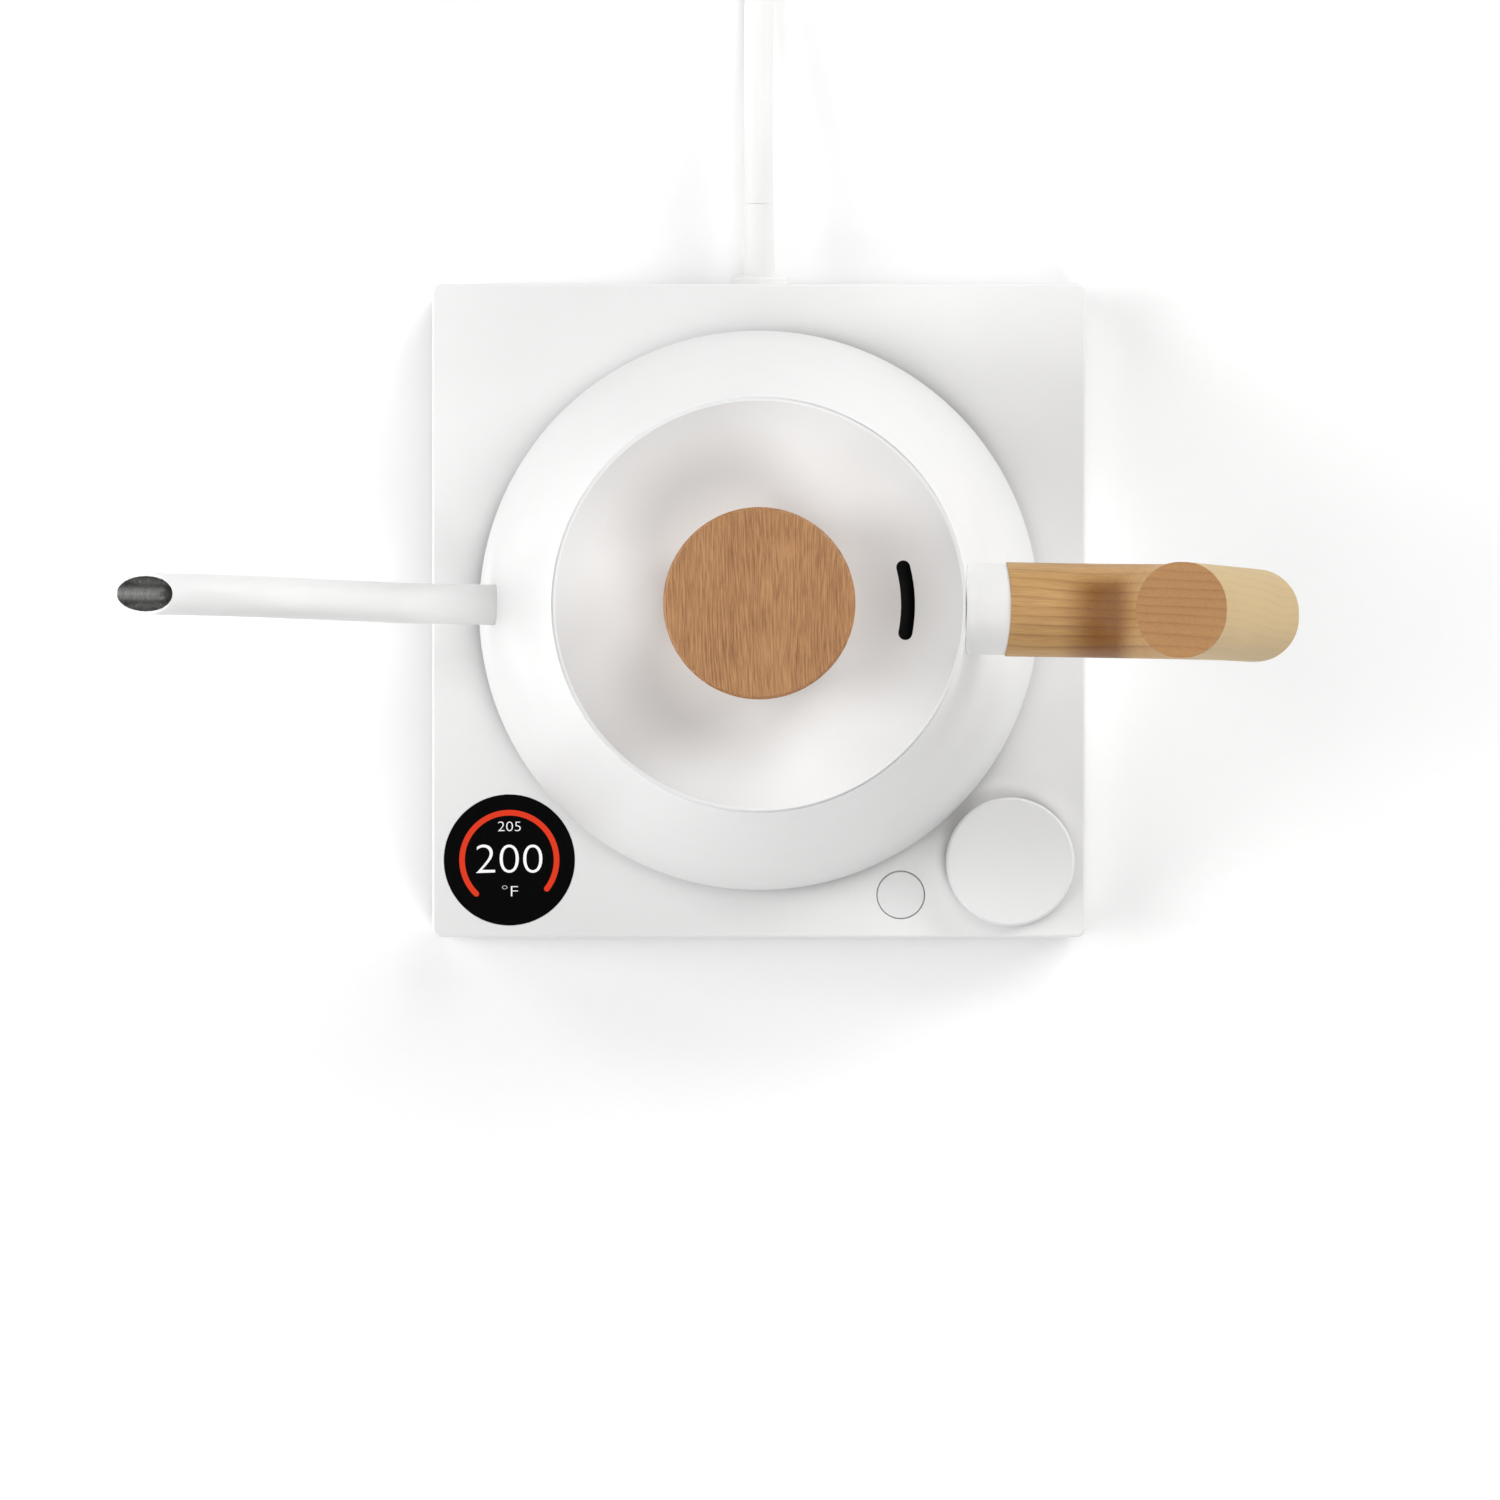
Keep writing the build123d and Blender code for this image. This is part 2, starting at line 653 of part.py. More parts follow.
# Button: a flush round cap with a flange under the top plate and a stem down to the switch.
button_top = base_top + button_proud
button_under = plate_under - button_rest_gap
switch_top = board_top + switch_height
plunger_top = switch_top + plunger_over_switch
plunger_foot = board_top + button_travel + plunger_floor_gap
with BuildPart() as button_cap:
    with BuildSketch(Plane.XY.offset(button_under)):
        with Locations(button_at):
            Circle(button_radius)
    extrude(amount=button_top - button_under)
    chamfer(button_cap.faces().sort_by(Axis.Z)[-1].edges(), button_chamfer)
    with BuildSketch(Plane.XY.offset(button_under - button_flange)):
        with Locations(button_at):
            Circle(button_radius + button_flange_step)
    extrude(amount=button_flange)
    with BuildSketch(Plane.XY.offset(plunger_top)):
        with Locations(button_at):
            Circle(button_stem)
    extrude(amount=button_under - button_flange - plunger_top)
save(button_cap.part, "button_cap")

with BuildPart() as switch_plunger:
    with BuildSketch(Plane.XY.offset(plunger_foot)):
        with Locations(button_at):
            Circle(plunger_radius)
    extrude(amount=plunger_top - plunger_foot)
save(switch_plunger.part, "switch_plunger")

with BuildPart() as button_switch:
    with BuildSketch(Plane.XY.offset(board_top)):
        with Locations(button_at):
            Rectangle(switch_side, switch_side)
            Circle(plunger_radius + plunger_fit, mode=Mode.SUBTRACT)
    extrude(amount=switch_height)
save(button_switch.part, "button_switch")

# Sounder: the round piezo can on the control board.
sounder_at = (sounder_x, -(board_back + sounder_inset))
with BuildPart() as sounder:
    with BuildSketch(Plane.XY.offset(board_top)):
        with Locations(sounder_at):
            Circle(sounder_radius)
    extrude(amount=sounder_height)
    with BuildSketch(Plane.XY.offset(board_top + sounder_height)):
        with Locations(sounder_at):
            Circle(sounder_hole[0])
    extrude(amount=-sounder_hole[1], mode=Mode.SUBTRACT)
save(sounder.part, "sounder")

# Power board at the rear, on the cover's posts, and what stands on it.
with BuildPart() as power_board:
    with BuildSketch(Plane.XY.offset(power_board_level)):
        with Locations(power_board_at):
            Rectangle(*power_board_size)
            with GridLocations(*power_posts, 2, 2):
                Circle(board_screw_radius + screw_fit, mode=Mode.SUBTRACT)
    extrude(amount=board_thickness)
save(power_board.part, "power_board")

power_level = power_board_level + board_thickness
power_screw = screw(*board_head, board_screw_radius, board_thickness + power_screw_grip)
with BuildPart() as power_board_screws:
    with Locations(Location((power_board_at[0], power_board_at[1], power_level), (180, 0, 0))):
        with GridLocations(*power_posts, 2, 2):
            add(power_screw)
save(power_board_screws.part, "power_board_screws")

with BuildPart() as relay:
    with BuildSketch(Plane.XY.offset(power_level)):
        with Locations((power_board_at[0] + relay_x, power_board_at[1])):
            RectangleRounded(relay_size[0], relay_size[1], power_corner)
    extrude(amount=relay_size[2])
    chamfer(relay.faces().sort_by(Axis.Z)[-1].edges(), relay_chamfer)
save(relay.part, "relay")

transformer_at = (power_board_at[0] + transformer_x, power_board_at[1])
core_height, winding_height, cap_height = transformer_layers
with BuildPart() as transformer:
    with BuildSketch(Plane.XY.offset(power_level)):
        with Locations(transformer_at):
            Rectangle(*transformer_core)
    extrude(amount=core_height)
    with BuildSketch(Plane.XY.offset(power_level + core_height)):
        with Locations(transformer_at):
            RectangleRounded(*transformer_winding, winding_corner)
    extrude(amount=winding_height)
    with BuildSketch(Plane.XY.offset(power_level + core_height + winding_height)):
        with Locations(transformer_at):
            Rectangle(*transformer_core)
    extrude(amount=cap_height)
save(transformer.part, "transformer")

with BuildPart() as capacitors:
    with BuildSketch(Plane.XY.offset(power_level)):
        with Locations((power_board_at[0] + capacitor_x, power_board_at[1])):
            with GridLocations(capacitor_pitch, capacitor_pitch, 1, 2):
                Circle(capacitor_radius)
    extrude(amount=capacitor_height)
save(capacitors.part, "capacitors")

terminal_at = (power_board_at[0] + terminal_offset[0], power_board_at[1] + terminal_offset[1])
with BuildPart() as terminal_block:
    with BuildSketch(Plane.XY.offset(power_level)):
        with Locations(terminal_at):
            Rectangle(terminal_size[0], terminal_size[1])
    extrude(amount=terminal_size[2])
    with BuildSketch(Plane.XY.offset(power_level + terminal_size[2])):
        with Locations(terminal_at):
            with GridLocations(terminal_pitch, terminal_pitch, 3, 1):
                Circle(terminal_hole[0])
    extrude(amount=-terminal_hole[1], mode=Mode.SUBTRACT)
save(terminal_block.part, "terminal_block")

# Strain relief: a flanged sleeve moulded on the cord, tapered outside the rear wall.
with BuildPart() as strain_relief:
    with BuildSketch(Plane.XZ.offset(-(half_side - base_wall))):
        with Locations((0, cord_height)):
            Circle(relief_neck)
    extrude(amount=-base_wall)
    with BuildSketch(Plane.XZ.offset(-half_side)):
        with Locations((0, cord_height)):
            Circle(relief_flange / 2)
    extrude(amount=-relief_flange_length)
    fillet(strain_relief.faces().sort_by(Axis.Y)[-1].edges(), relief_rounding)
    with BuildSketch(Plane.XZ.offset(-(half_side + relief_flange_length))):
        with Locations((0, cord_height)):
            Circle(cord_radius + relief_wall[0])
    with BuildSketch(Plane.XZ.offset(-(half_side + relief_length))):
        with Locations((0, cord_height)):
            Circle(cord_radius + relief_wall[1])
    loft()
save(strain_relief.part, "strain_relief")

# Cord clamp: a bridge on the bottom cover that holds the cord's sheath inside the base.
clamp_at = half_side - base_wall - clamp_inset
clamp_top = cord_height + cord_radius + clamp_bridge
with BuildPart() as inner_cord:
    with BuildSketch(Plane.XZ.offset(-(half_side - base_wall))):
        with Locations((0, cord_height)):
            Circle(cord_radius)
    extrude(amount=inner_cord_length)
save(inner_cord.part, "inner_cord")

with BuildPart() as cord_clamp:
    with BuildSketch(Plane.XZ.offset(-(clamp_at + clamp_size[1] / 2))):
        with Locations((0, (cover_top + clamp_top) / 2)):
            Rectangle(clamp_size[0], clamp_top - cover_top)
        with Locations((0, cord_height)):
            Circle(cord_radius + screw_fit, mode=Mode.SUBTRACT)
    extrude(amount=clamp_size[1])
save(cord_clamp.part, "cord_clamp")

# Leads: three insulated wires from the sheath's inner end to the terminal block.
lead_start = half_side - base_wall - inner_cord_length
lead_end = terminal_at[1] + terminal_size[1] / 2
with BuildPart() as mains_leads:
    for place in (-1, 0, 1):
        start = Vector(place * lead_pitch, lead_start, cord_height)
        end = Vector(terminal_at[0] + place * terminal_pitch, lead_end, power_level + lead_end_level)
        with BuildSketch(Plane(origin=start, z_dir=end - start)):
            Circle(lead_radius)
        extrude(amount=(end - start).length - lead_end_gap)
save(mains_leads.part, "mains_leads")

# ================================================================ KETTLE
floor_top = kettle_bottom + floor_rise
floor_under = floor_top - floor_thickness
spout_radius = spout_diameter / 2
spout_root = kettle_bottom + spout_rise
skirt_level = kettle_bottom + skirt_rise
stud_circle = body_radius - stud_inset
connector_radius = plug_boss_radius + connector_clearance + connector_wall

# Kettle body: the spun steel cone with its inside floor, and screw studs under the floor.
with BuildPart() as kettle_body:
    with BuildSketch(kettle_side):
        with BuildLine():
            Polyline(
                (body_radius, kettle_bottom),
                (outer_radius(body_top), body_top),
                (inner_radius(body_top), body_top),
                (inner_radius(floor_top), floor_top),
                (0, floor_top),
                (0, floor_under),
                (inner_radius(floor_under), floor_under),
                (body_radius - wall_across, kettle_bottom),
                close=True,
            )
        make_face()
    revolve(axis=Axis.Z)
    with BuildSketch(kettle_level(skirt_level + skirt_thickness)):
        with PolarLocations(stud_circle, 3, start_angle=60):
            Circle(stud_radius)
    extrude(amount=floor_under - skirt_level - skirt_thickness)
    with BuildSketch(kettle_level(skirt_level + skirt_thickness)):
        with PolarLocations(stud_circle, 3, start_angle=60):
            Circle(skirt_screw_radius + screw_fit)
    extrude(amount=stud_hole_depth, mode=Mode.SUBTRACT)
    # the hole that the spout is welded into
    spout_hole_reach = inner_radius(spout_root) - spout_hole_inset
    spout_hole_start = kettle_side.from_local_coords((-spout_hole_reach, spout_root, 0))
    with BuildSketch(Plane(origin=spout_hole_start, z_dir=-kettle_frame.x_dir)):
        Circle(spout_radius + weld_gap)
    extrude(amount=spout_hole_depth, mode=Mode.SUBTRACT)
save(kettle_body.part, "kettle_body")

# Mouth ring: the stepped ring welded inside the rim that the lid sits on.
ring_top = rim_height - lid_edge
ring_foot = ring_top - mouth_ring_height
ledge_under = ring_top - mouth_ring_ledge
ring_inner = rim_radius - wall_across - mouth_ring_step
with BuildPart() as mouth_ring:
    with BuildSketch(kettle_side):
        with BuildLine():
            Polyline(
                (inner_radius(ring_top) - weld_gap, ring_top),
                (inner_radius(ring_foot) - weld_gap, ring_foot),
                (inner_radius(ring_foot) - weld_gap - mouth_ring_wall, ring_foot),
                (inner_radius(ledge_under) - weld_gap - mouth_ring_wall, ledge_under),
                (ring_inner + mouth_ring_wall, ledge_under),
                (ring_inner + mouth_ring_wall, ring_foot),
                (ring_inner, ring_foot),
                (ring_inner, ring_top),
                close=True,
            )
        make_face()
    revolve(axis=Axis.Z)
save(mouth_ring.part, "mouth_ring")

# Spout: a drawn gooseneck tube, low out of the body, up, over, and cut obliquely at the mouth.
mouth_height = rim_height + spout_over_rim
lip_reach = body_radius + spout_reach
spout_start = inner_radius(spout_root) - spout_root_entry
bore_radius = spout_radius - spout_wall
with BuildPart() as spout_tube:
    with BuildLine(kettle_side) as spout_path:
        FilletPolyline(
            (-spout_start, spout_root),
            (-(body_radius + spout_elbow_reach), spout_root),
            (-(body_radius + spout_neck_reach), mouth_height),
            (-(lip_reach + spout_end_spare), mouth_height - spout_droop),
            radius=[lower_bend_radius, upper_bend_radius],
        )
    with BuildSketch(Plane(origin=spout_path.line @ 0, z_dir=spout_path.line % 0)):
        Circle(spout_radius)
        Circle(bore_radius, mode=Mode.SUBTRACT)
    sweep(path=spout_path.line)
    cut_origin = kettle_side.from_local_coords((-lip_reach, mouth_height - spout_droop - spout_radius, 0))
    cut_normal = (Vector(0, 0, 1) * spout_cut - kettle_frame.x_dir * spout_diameter).normalized()
    split(bisect_by=Plane(origin=cut_origin, z_dir=cut_normal), keep=Keep.BOTTOM)
save(spout_tube.part, "spout_tube")

# Handle bracket: a round painted block welded to the body, with a tongue that enters the wood.
arm_top = rim_height - arm_below_rim
arm_middle = arm_top - arm_thickness / 2
joint_radius = rim_radius + bracket_reach
tongue_screws = (joint_radius + first_screw, joint_radius + second_screw)
fit_low = rim_height - arm_thickness - cone_spare[0]
fit_high = rim_height + cone_spare[1]


def arm_section(reach):
    """The plane across the arm at a distance from the kettle's axis."""
    return Plane(origin=kettle_side.from_local_coords((reach, arm_middle, 0)),
                 x_dir=kettle_frame.y_dir, z_dir=kettle_frame.x_dir)


with BuildPart() as handle_bracket:
    with BuildSketch(arm_section(rim_radius - bracket_root)):
        RectangleRounded(arm_width - 2 * bracket_trim, arm_thickness - 2 * bracket_trim,
                         min(arm_width, arm_thickness) / 2 - bracket_trim - bracket_flat)
    extrude(amount=bracket_root + bracket_reach)
    with BuildSketch(kettle_level(arm_middle - arm_thickness)):
        Circle(joint_radius + bracket_spare)
        Circle(joint_radius, mode=Mode.SUBTRACT)
    extrude(amount=2 * arm_thickness, mode=Mode.SUBTRACT)
    with BuildSketch(arm_section(rim_radius + tongue_root)):
        Rectangle(tongue_width, tongue_thickness)
    extrude(amount=joint_radius + tongue_length - rim_radius - tongue_root)
    with BuildSketch(kettle_side):
        with BuildLine():
            Polyline(
                (0, fit_low),
                (outer_radius(fit_low) + weld_gap, fit_low),
                (outer_radius(fit_high) + weld_gap, fit_high),
                (0, fit_high),
                close=True,
            )
        make_face()
    revolve(axis=Axis.Z, mode=Mode.SUBTRACT)
    with BuildSketch(kettle_level(arm_middle - tongue_thickness)):
        with Locations((tongue_screws[0], 0), (tongue_screws[1], 0)):
            Circle(handle_screw_radius + screw_fit)
    extrude(amount=2 * tongue_thickness, mode=Mode.SUBTRACT)
save(handle_bracket.part, "handle_bracket")

# Wooden handle: arm and grip turned and sanded from one piece of wood, nearly round in section.
lean = radians(grip_tilt)
face_lean = radians(grip_face_tilt)
grip_half = grip_thickness / 2
grip_x = rim_radius + grip_reach
grip_z = rim_height + grip_over_rim
arm_bottom = arm_top - arm_thickness
face_half = grip_half / cos(face_lean - lean)
face_inner = (grip_x - face_half * cos(face_lean), grip_z - face_half * sin(face_lean))
face_outer = (grip_x + face_half * cos(face_lean), grip_z + face_half * sin(face_lean))
foot_x = grip_x + grip_length * sin(lean)
foot_z = grip_z - grip_length * cos(lean)
foot_inner = (foot_x - grip_half * cos(lean), foot_z - grip_half * sin(lean))
foot_outer = (foot_x + grip_half * cos(lean), foot_z + grip_half * sin(lean))


def grip_inside(height):
    """Distance from the kettle's axis to the grip's inner side at a height over the table."""
    return face_inner[0] + (face_inner[1] - height) * tan(lean)


saddle = (grip_inside(arm_top), arm_top)
finger = (grip_inside(arm_bottom), arm_bottom)
with BuildPart() as wooden_handle:
    with BuildSketch(kettle_side) as handle_side:
        with BuildLine():
            Polyline(
                (joint_radius - wood_overlap, arm_bottom),
                (joint_radius - wood_overlap, arm_top),
                saddle,
                face_inner,
                face_outer,
                foot_outer,
                foot_inner,
                finger,
                close=True,
            )
        make_face()
        fillet(handle_side.vertices().sort_by_distance(saddle)[0], saddle_radius)
        fillet(handle_side.vertices().sort_by_distance(finger)[0], finger_radius)
    extrude(amount=arm_width / 2, both=True)
    across = Axis((0, 0, 0), kettle_frame.y_dir)
    along = Axis((0, 0, 0), kettle_frame.x_dir)
    end_faces = [
        wooden_handle.faces().sort_by(Axis.Z)[-1],
        wooden_handle.faces().sort_by(Axis.Z)[0],
        wooden_handle.faces().sort_by(along)[0],
    ]
    end_edges = [edge for face in end_faces for edge in face.edges()]
    side_faces = [wooden_handle.faces().sort_by(across)[0], wooden_handle.faces().sort_by(across)[-1]]
    long_edges = [edge for face in side_faces for edge in face.edges() if edge not in end_edges]
    fillet(long_edges, handle_rounding)
    fillet(wooden_handle.faces().sort_by(Axis.Z)[0].edges(), grip_end_rounding)
    with BuildSketch(kettle_level(arm_middle - arm_thickness)):
        Circle(joint_radius)
    extrude(amount=2 * arm_thickness, mode=Mode.SUBTRACT)
    with BuildSketch(arm_section(joint_radius - tongue_slot_start)):
        Rectangle(tongue_width + 2 * tongue_clearance, tongue_thickness + 2 * tongue_clearance)
    extrude(amount=tongue_slot_start + tongue_length + tongue_clearance, mode=Mode.SUBTRACT)
    with BuildSketch(kettle_level(arm_bottom)):
        with Locations((tongue_screws[0], 0), (tongue_screws[1], 0)):
            Circle(handle_screw_radius + screw_fit)
    extrude(amount=arm_thickness / 2, mode=Mode.SUBTRACT)
    with BuildSketch(kettle_level(arm_bottom)):
        with Locations((tongue_screws[0], 0), (tongue_screws[1], 0)):
            Circle(handle_head[0] + head_clearance)
    extrude(amount=handle_counterbore, mode=Mode.SUBTRACT)
save(wooden_handle.part, "wooden_handle")

handle_screw_length = arm_thickness / 2 - handle_counterbore + tongue_thickness / 2 - handle_screw_spare
handle_screw = screw(*handle_head, handle_screw_radius, handle_screw_length)
with BuildPart() as handle_screws:
    with Locations(Location(kettle_level(arm_bottom + handle_counterbore))):
        with Locations((tongue_screws[0], 0), (tongue_screws[1], 0)):
            add(handle_screw)
save(handle_screws.part, "handle_screws")

# Heater: an aluminium plate pressed to the floor, the tubular element under it and the sensor.
plate_under_floor = floor_under - plate_thickness
plate_radius = stud_circle - stud_radius - plate_stud_gap
with BuildPart() as heater_plate:
    with BuildSketch(kettle_level(plate_under_floor)):
        Circle(plate_radius)
    extrude(amount=plate_thickness)
save(heater_plate.part, "heater_plate")

with BuildPart() as heating_element:
    with BuildSketch(kettle_side):
        with Locations((element_circle, plate_under_floor - element_diameter / 2)):
            Circle(element_diameter / 2)
    revolve(axis=Axis.Z, revolution_arc=element_arc)
save(heating_element.part, "heating_element")

sensor_at = (-(connector_radius + sensor_gap), 0)
with BuildPart() as temperature_sensor:
    with BuildSketch(kettle_level(plate_under_floor - sensor_length)):
        with Locations(sensor_at):
            Circle(sensor_radius)
    extrude(amount=sensor_length)
    with BuildSketch(kettle_level(plate_under_floor - sensor_ear_thickness)):
        with Locations(sensor_at):
            SlotOverall(*sensor_ear, rotation=90)
    extrude(amount=sensor_ear_thickness)
save(temperature_sensor.part, "temperature_sensor")

# Kettle connector: the round cup that drops over the base's power boss.
connector_under = base_top + connector_rise
connector_top = socket_top + connector_clearance + connector_roof
cavity_radius = plug_boss_radius + connector_clearance
cavity_top = socket_top + connector_clearance
with BuildPart() as kettle_connector:
    with BuildSketch(kettle_level(connector_under)):
        Circle(connector_radius)
    extrude(amount=connector_top - connector_under)
    with BuildSketch(kettle_level(connector_under)):
        Circle(cavity_radius)
    extrude(amount=cavity_top - connector_under, mode=Mode.SUBTRACT)
    chamfer(kettle_connector.faces().filter_by(Plane.XY).sort_by(Axis.Z)[0].edges(), connector_chamfer)
save(kettle_connector.part, "kettle_connector")

with BuildPart() as kettle_contacts:
    with BuildSketch(kettle_level(cavity_top - contact_pin_length)):
        Circle(contact_pin_radius)
    extrude(amount=contact_pin_length)
    with BuildSketch(kettle_level(cavity_top - ring_blade_length)):
        Circle(socket_ring_slot + ring_blade[1])
        Circle(socket_ring_slot + ring_blade[0], mode=Mode.SUBTRACT)
    extrude(amount=ring_blade_length)
save(kettle_contacts.part, "kettle_contacts")

# Skirt: the moulded cover under the kettle, with the foot it stands on and a hole for the connector.
skirt_radius = body_radius - wall_across - skirt_clearance
with BuildPart() as kettle_skirt:
    with BuildSketch(kettle_level(skirt_level)):
        Circle(skirt_radius - skirt_taper)
    extrude(amount=skirt_thickness)
    with BuildSketch(kettle_level(base_top + seat_gap)):
        Circle(skirt_radius - foot_outer_step)
        Circle(skirt_radius - foot_inner_step, mode=Mode.SUBTRACT)
    extrude(amount=skirt_level - base_top - seat_gap)
    with BuildSketch(kettle_level(skirt_level)):
        Circle(connector_radius + connector_clearance)
    extrude(amount=skirt_thickness, mode=Mode.SUBTRACT)
    with BuildSketch(kettle_level(skirt_level)):
        with PolarLocations(stud_circle, 3, start_angle=60):
            Circle(skirt_screw_radius + screw_fit)
    extrude(amount=skirt_thickness, mode=Mode.SUBTRACT)
save(kettle_skirt.part, "kettle_skirt")

skirt_screw = screw(*skirt_head, skirt_screw_radius, skirt_screw_length)
with BuildPart() as skirt_screws:
    with Locations(Location(kettle_level(skirt_level))):
        with PolarLocations(stud_circle, 3, start_angle=60):
            add(skirt_screw)
save(skirt_screws.part, "skirt_screws")

# ================================================================ LID
lid_radius = rim_radius
lid_land = ring_inner - lid_land_margin
lid_top_level = rim_height
dish_floor = lid_top_level - lid_dish
knob_radius = knob_diameter / 2
knob_foot_radius = knob_foot_diameter / 2
seat_radius = knob_foot_radius + knob_seat_margin
knob_top = rim_height + knob_over_rim
gasket_outer = ring_inner - gasket_fit
insert_radius = gasket_outer - gasket_width
dish_run = lid_radius - lid_flat - seat_radius
dish_radius = (dish_run ** 2 + lid_dish ** 2) / (2 * lid_dish)


def dish_height(radius):
    """Height of the lid's dished top at a distance from its middle."""
    return dish_floor + dish_radius - sqrt(dish_radius ** 2 - (radius - seat_radius) ** 2)


dish_middle = seat_radius + dish_run / 2

# Lid top: the pressed steel dish with its curved steam vent.
with BuildPart() as lid_top:
    with BuildSketch(kettle_side):
        with BuildLine():
            Line((0, dish_floor), (seat_radius, dish_floor))
            ThreePointArc((seat_radius, dish_floor), (dish_middle, dish_height(dish_middle)),
                          (lid_radius - lid_flat, lid_top_level))
            Line((lid_radius - lid_flat, lid_top_level), (lid_radius, lid_top_level))
            Line((lid_radius, lid_top_level), (lid_radius, lid_top_level - lid_edge))
            Line((lid_radius, lid_top_level - lid_edge), (lid_land, lid_top_level - lid_edge))
            Line((lid_land, lid_top_level - lid_edge), (lid_land, dish_height(lid_land) - lid_sheet))
            ThreePointArc((lid_land, dish_height(lid_land) - lid_sheet),
                          (dish_middle, dish_height(dish_middle) - lid_sheet),
                          (seat_radius, dish_floor - lid_sheet))
            Line((seat_radius, dish_floor - lid_sheet), (0, dish_floor - lid_sheet))
            Line((0, dish_floor - lid_sheet), (0, dish_floor))
        make_face()
    revolve(axis=Axis.Z)
    with BuildSketch(Plane.XY.offset(dish_floor - 2 * lid_sheet)):
        SlotArc(CenterArc((0, 0), vent_radius, vent_centre - vent_span / 2, vent_span), vent_width)
    extrude(amount=lid_dish + 4 * lid_sheet, mode=Mode.SUBTRACT)
    with BuildSketch(kettle_level(dish_floor - 2 * lid_sheet)):
        Circle(knob_screw_radius + screw_fit)
    extrude(amount=4 * lid_sheet, mode=Mode.SUBTRACT)
save(lid_top.part, "lid_top")

# Lid insert: the deep cup under the lid, pierced for steam, with the groove that carries the gasket.
insert_under = rim_height - insert_depth
insert_top = dish_height(insert_radius - insert_wall) - lid_sheet - weld_gap
with BuildPart() as lid_insert:
    with BuildSketch(kettle_side):
        with BuildLine():
            Polyline(
                (0, insert_under),
                (insert_radius, insert_under),
                (insert_radius, insert_top),
                (insert_radius - insert_wall, insert_top),
                (insert_radius - insert_wall, insert_under + insert_wall),
                (0, insert_under + insert_wall),
                close=True,
            )
        make_face()
    revolve(axis=Axis.Z)
    with BuildSketch(kettle_level(insert_under)):
        with PolarLocations(insert_radius * insert_hole_share, insert_holes):
            Circle(insert_hole_radius)
        Circle(insert_centre_hole)
    extrude(amount=insert_wall, mode=Mode.SUBTRACT)
save(lid_insert.part, "lid_insert")

# Gasket: the silicone ring with two lips that holds the lid in the mouth ring.
gasket_top = dish_height(insert_radius) - lid_sheet - gasket_gap
with BuildPart() as lid_gasket:
    with BuildSketch(kettle_level(gasket_top - gasket_height)):
        Circle(gasket_outer - gasket_lip_depth)
        Circle(insert_radius + weld_gap, mode=Mode.SUBTRACT)
    extrude(amount=gasket_height)
    lower_lip = gasket_top - gasket_height + gasket_lip_inset
    upper_lip = gasket_top - gasket_lip_inset - gasket_lip
    for lip_level in (lower_lip, upper_lip):
        with BuildSketch(kettle_level(lip_level)):
            Circle(gasket_outer)
            Circle(insert_radius + weld_gap, mode=Mode.SUBTRACT)
        extrude(amount=gasket_lip)
save(lid_gasket.part, "lid_gasket")

# Knob: turned wood, a little wider at the top, screwed on from inside the lid.
with BuildPart() as lid_knob:
    with BuildSketch(kettle_side):
        with BuildLine():
            Polyline(
                (0, dish_floor),
                (knob_foot_radius, dish_floor),
                (knob_radius, knob_top - knob_chamfer - knob_band),
                (knob_radius, knob_top - knob_chamfer),
                (knob_radius - knob_chamfer, knob_top),
                (0, knob_top),
                close=True,
            )
        make_face()
    revolve(axis=Axis.Z)
    with BuildSketch(kettle_level(dish_floor)):
        Circle(knob_screw_radius + screw_fit)
    extrude(amount=knob_bore_depth, mode=Mode.SUBTRACT)
save(lid_knob.part, "lid_knob")

knob_fastener = screw(*knob_head, knob_screw_radius, lid_sheet + knob_bore_depth - knob_bore_spare)
with BuildPart() as knob_screw:
    with Locations((0, 0, dish_floor - lid_sheet)):
        add(knob_fastener)
save(knob_screw.part, "knob_screw")

# ================================================================ CORD
# The cord leaves the strain relief level, settles on the table, runs straight back and is put away
# in a coil of two and a quarter turns, each lying on the one below. Its end leaves the top of the
# coil, comes down beside it and enters the plug.


def bend_radii(points):
    """The largest arcs that a route's runs allow: 0.45 of the shorter run over tan(half the turn)."""
    radii = []
    for before, corner, after in zip(points, points[1:], points[2:]):
        arriving = Vector(*corner) - Vector(*before)
        leaving = Vector(*after) - Vector(*corner)
        half_turn = radians(arriving.get_angle(leaving)) / 2
        radii.append(0.45 * min(arriving.length, leaving.length) / tan(half_turn))
    return radii


def cord_tube(points):
    """A round tube of the cord's diameter along straight runs joined by tangent arcs."""
    radii = bend_radii(points)
    print("cord bend radii, mm:", [round(radius, 1) for radius in radii])
    with BuildPart() as tube:
        with BuildLine() as route:
            FilletPolyline(*points, radius=radii)
        with BuildSketch(Plane(origin=route.line @ 0, z_dir=route.line % 0)):
            Circle(cord_radius)
        sweep(path=route.line)
    length = route.wires()[0].length
    print("tube length, mm:", round(length, 1))
    print("tube volume over section times length:", round(tube.part.volume / (pi * cord_radius ** 2 * length), 4))
    return tube.part


relief_end = half_side + relief_length
coil_centre = (-coil_radius, relief_end + coil_beyond_relief)
lead_points = [
    (0.0, relief_end, cord_height),
    (0.0, relief_end + 13.0, cord_height - 0.3),
    (0.0, relief_end + 36.0, 6.4),
    (0.0, relief_end + 57.0, cord_radius + 0.1),
    (1.2, relief_end + 78.0, cord_radius + 0.1),
    (0.3, relief_end + 96.0, cord_radius + 0.5),
]
cord_lead = cord_tube(lead_points)
save(cord_lead, "cord_lead")

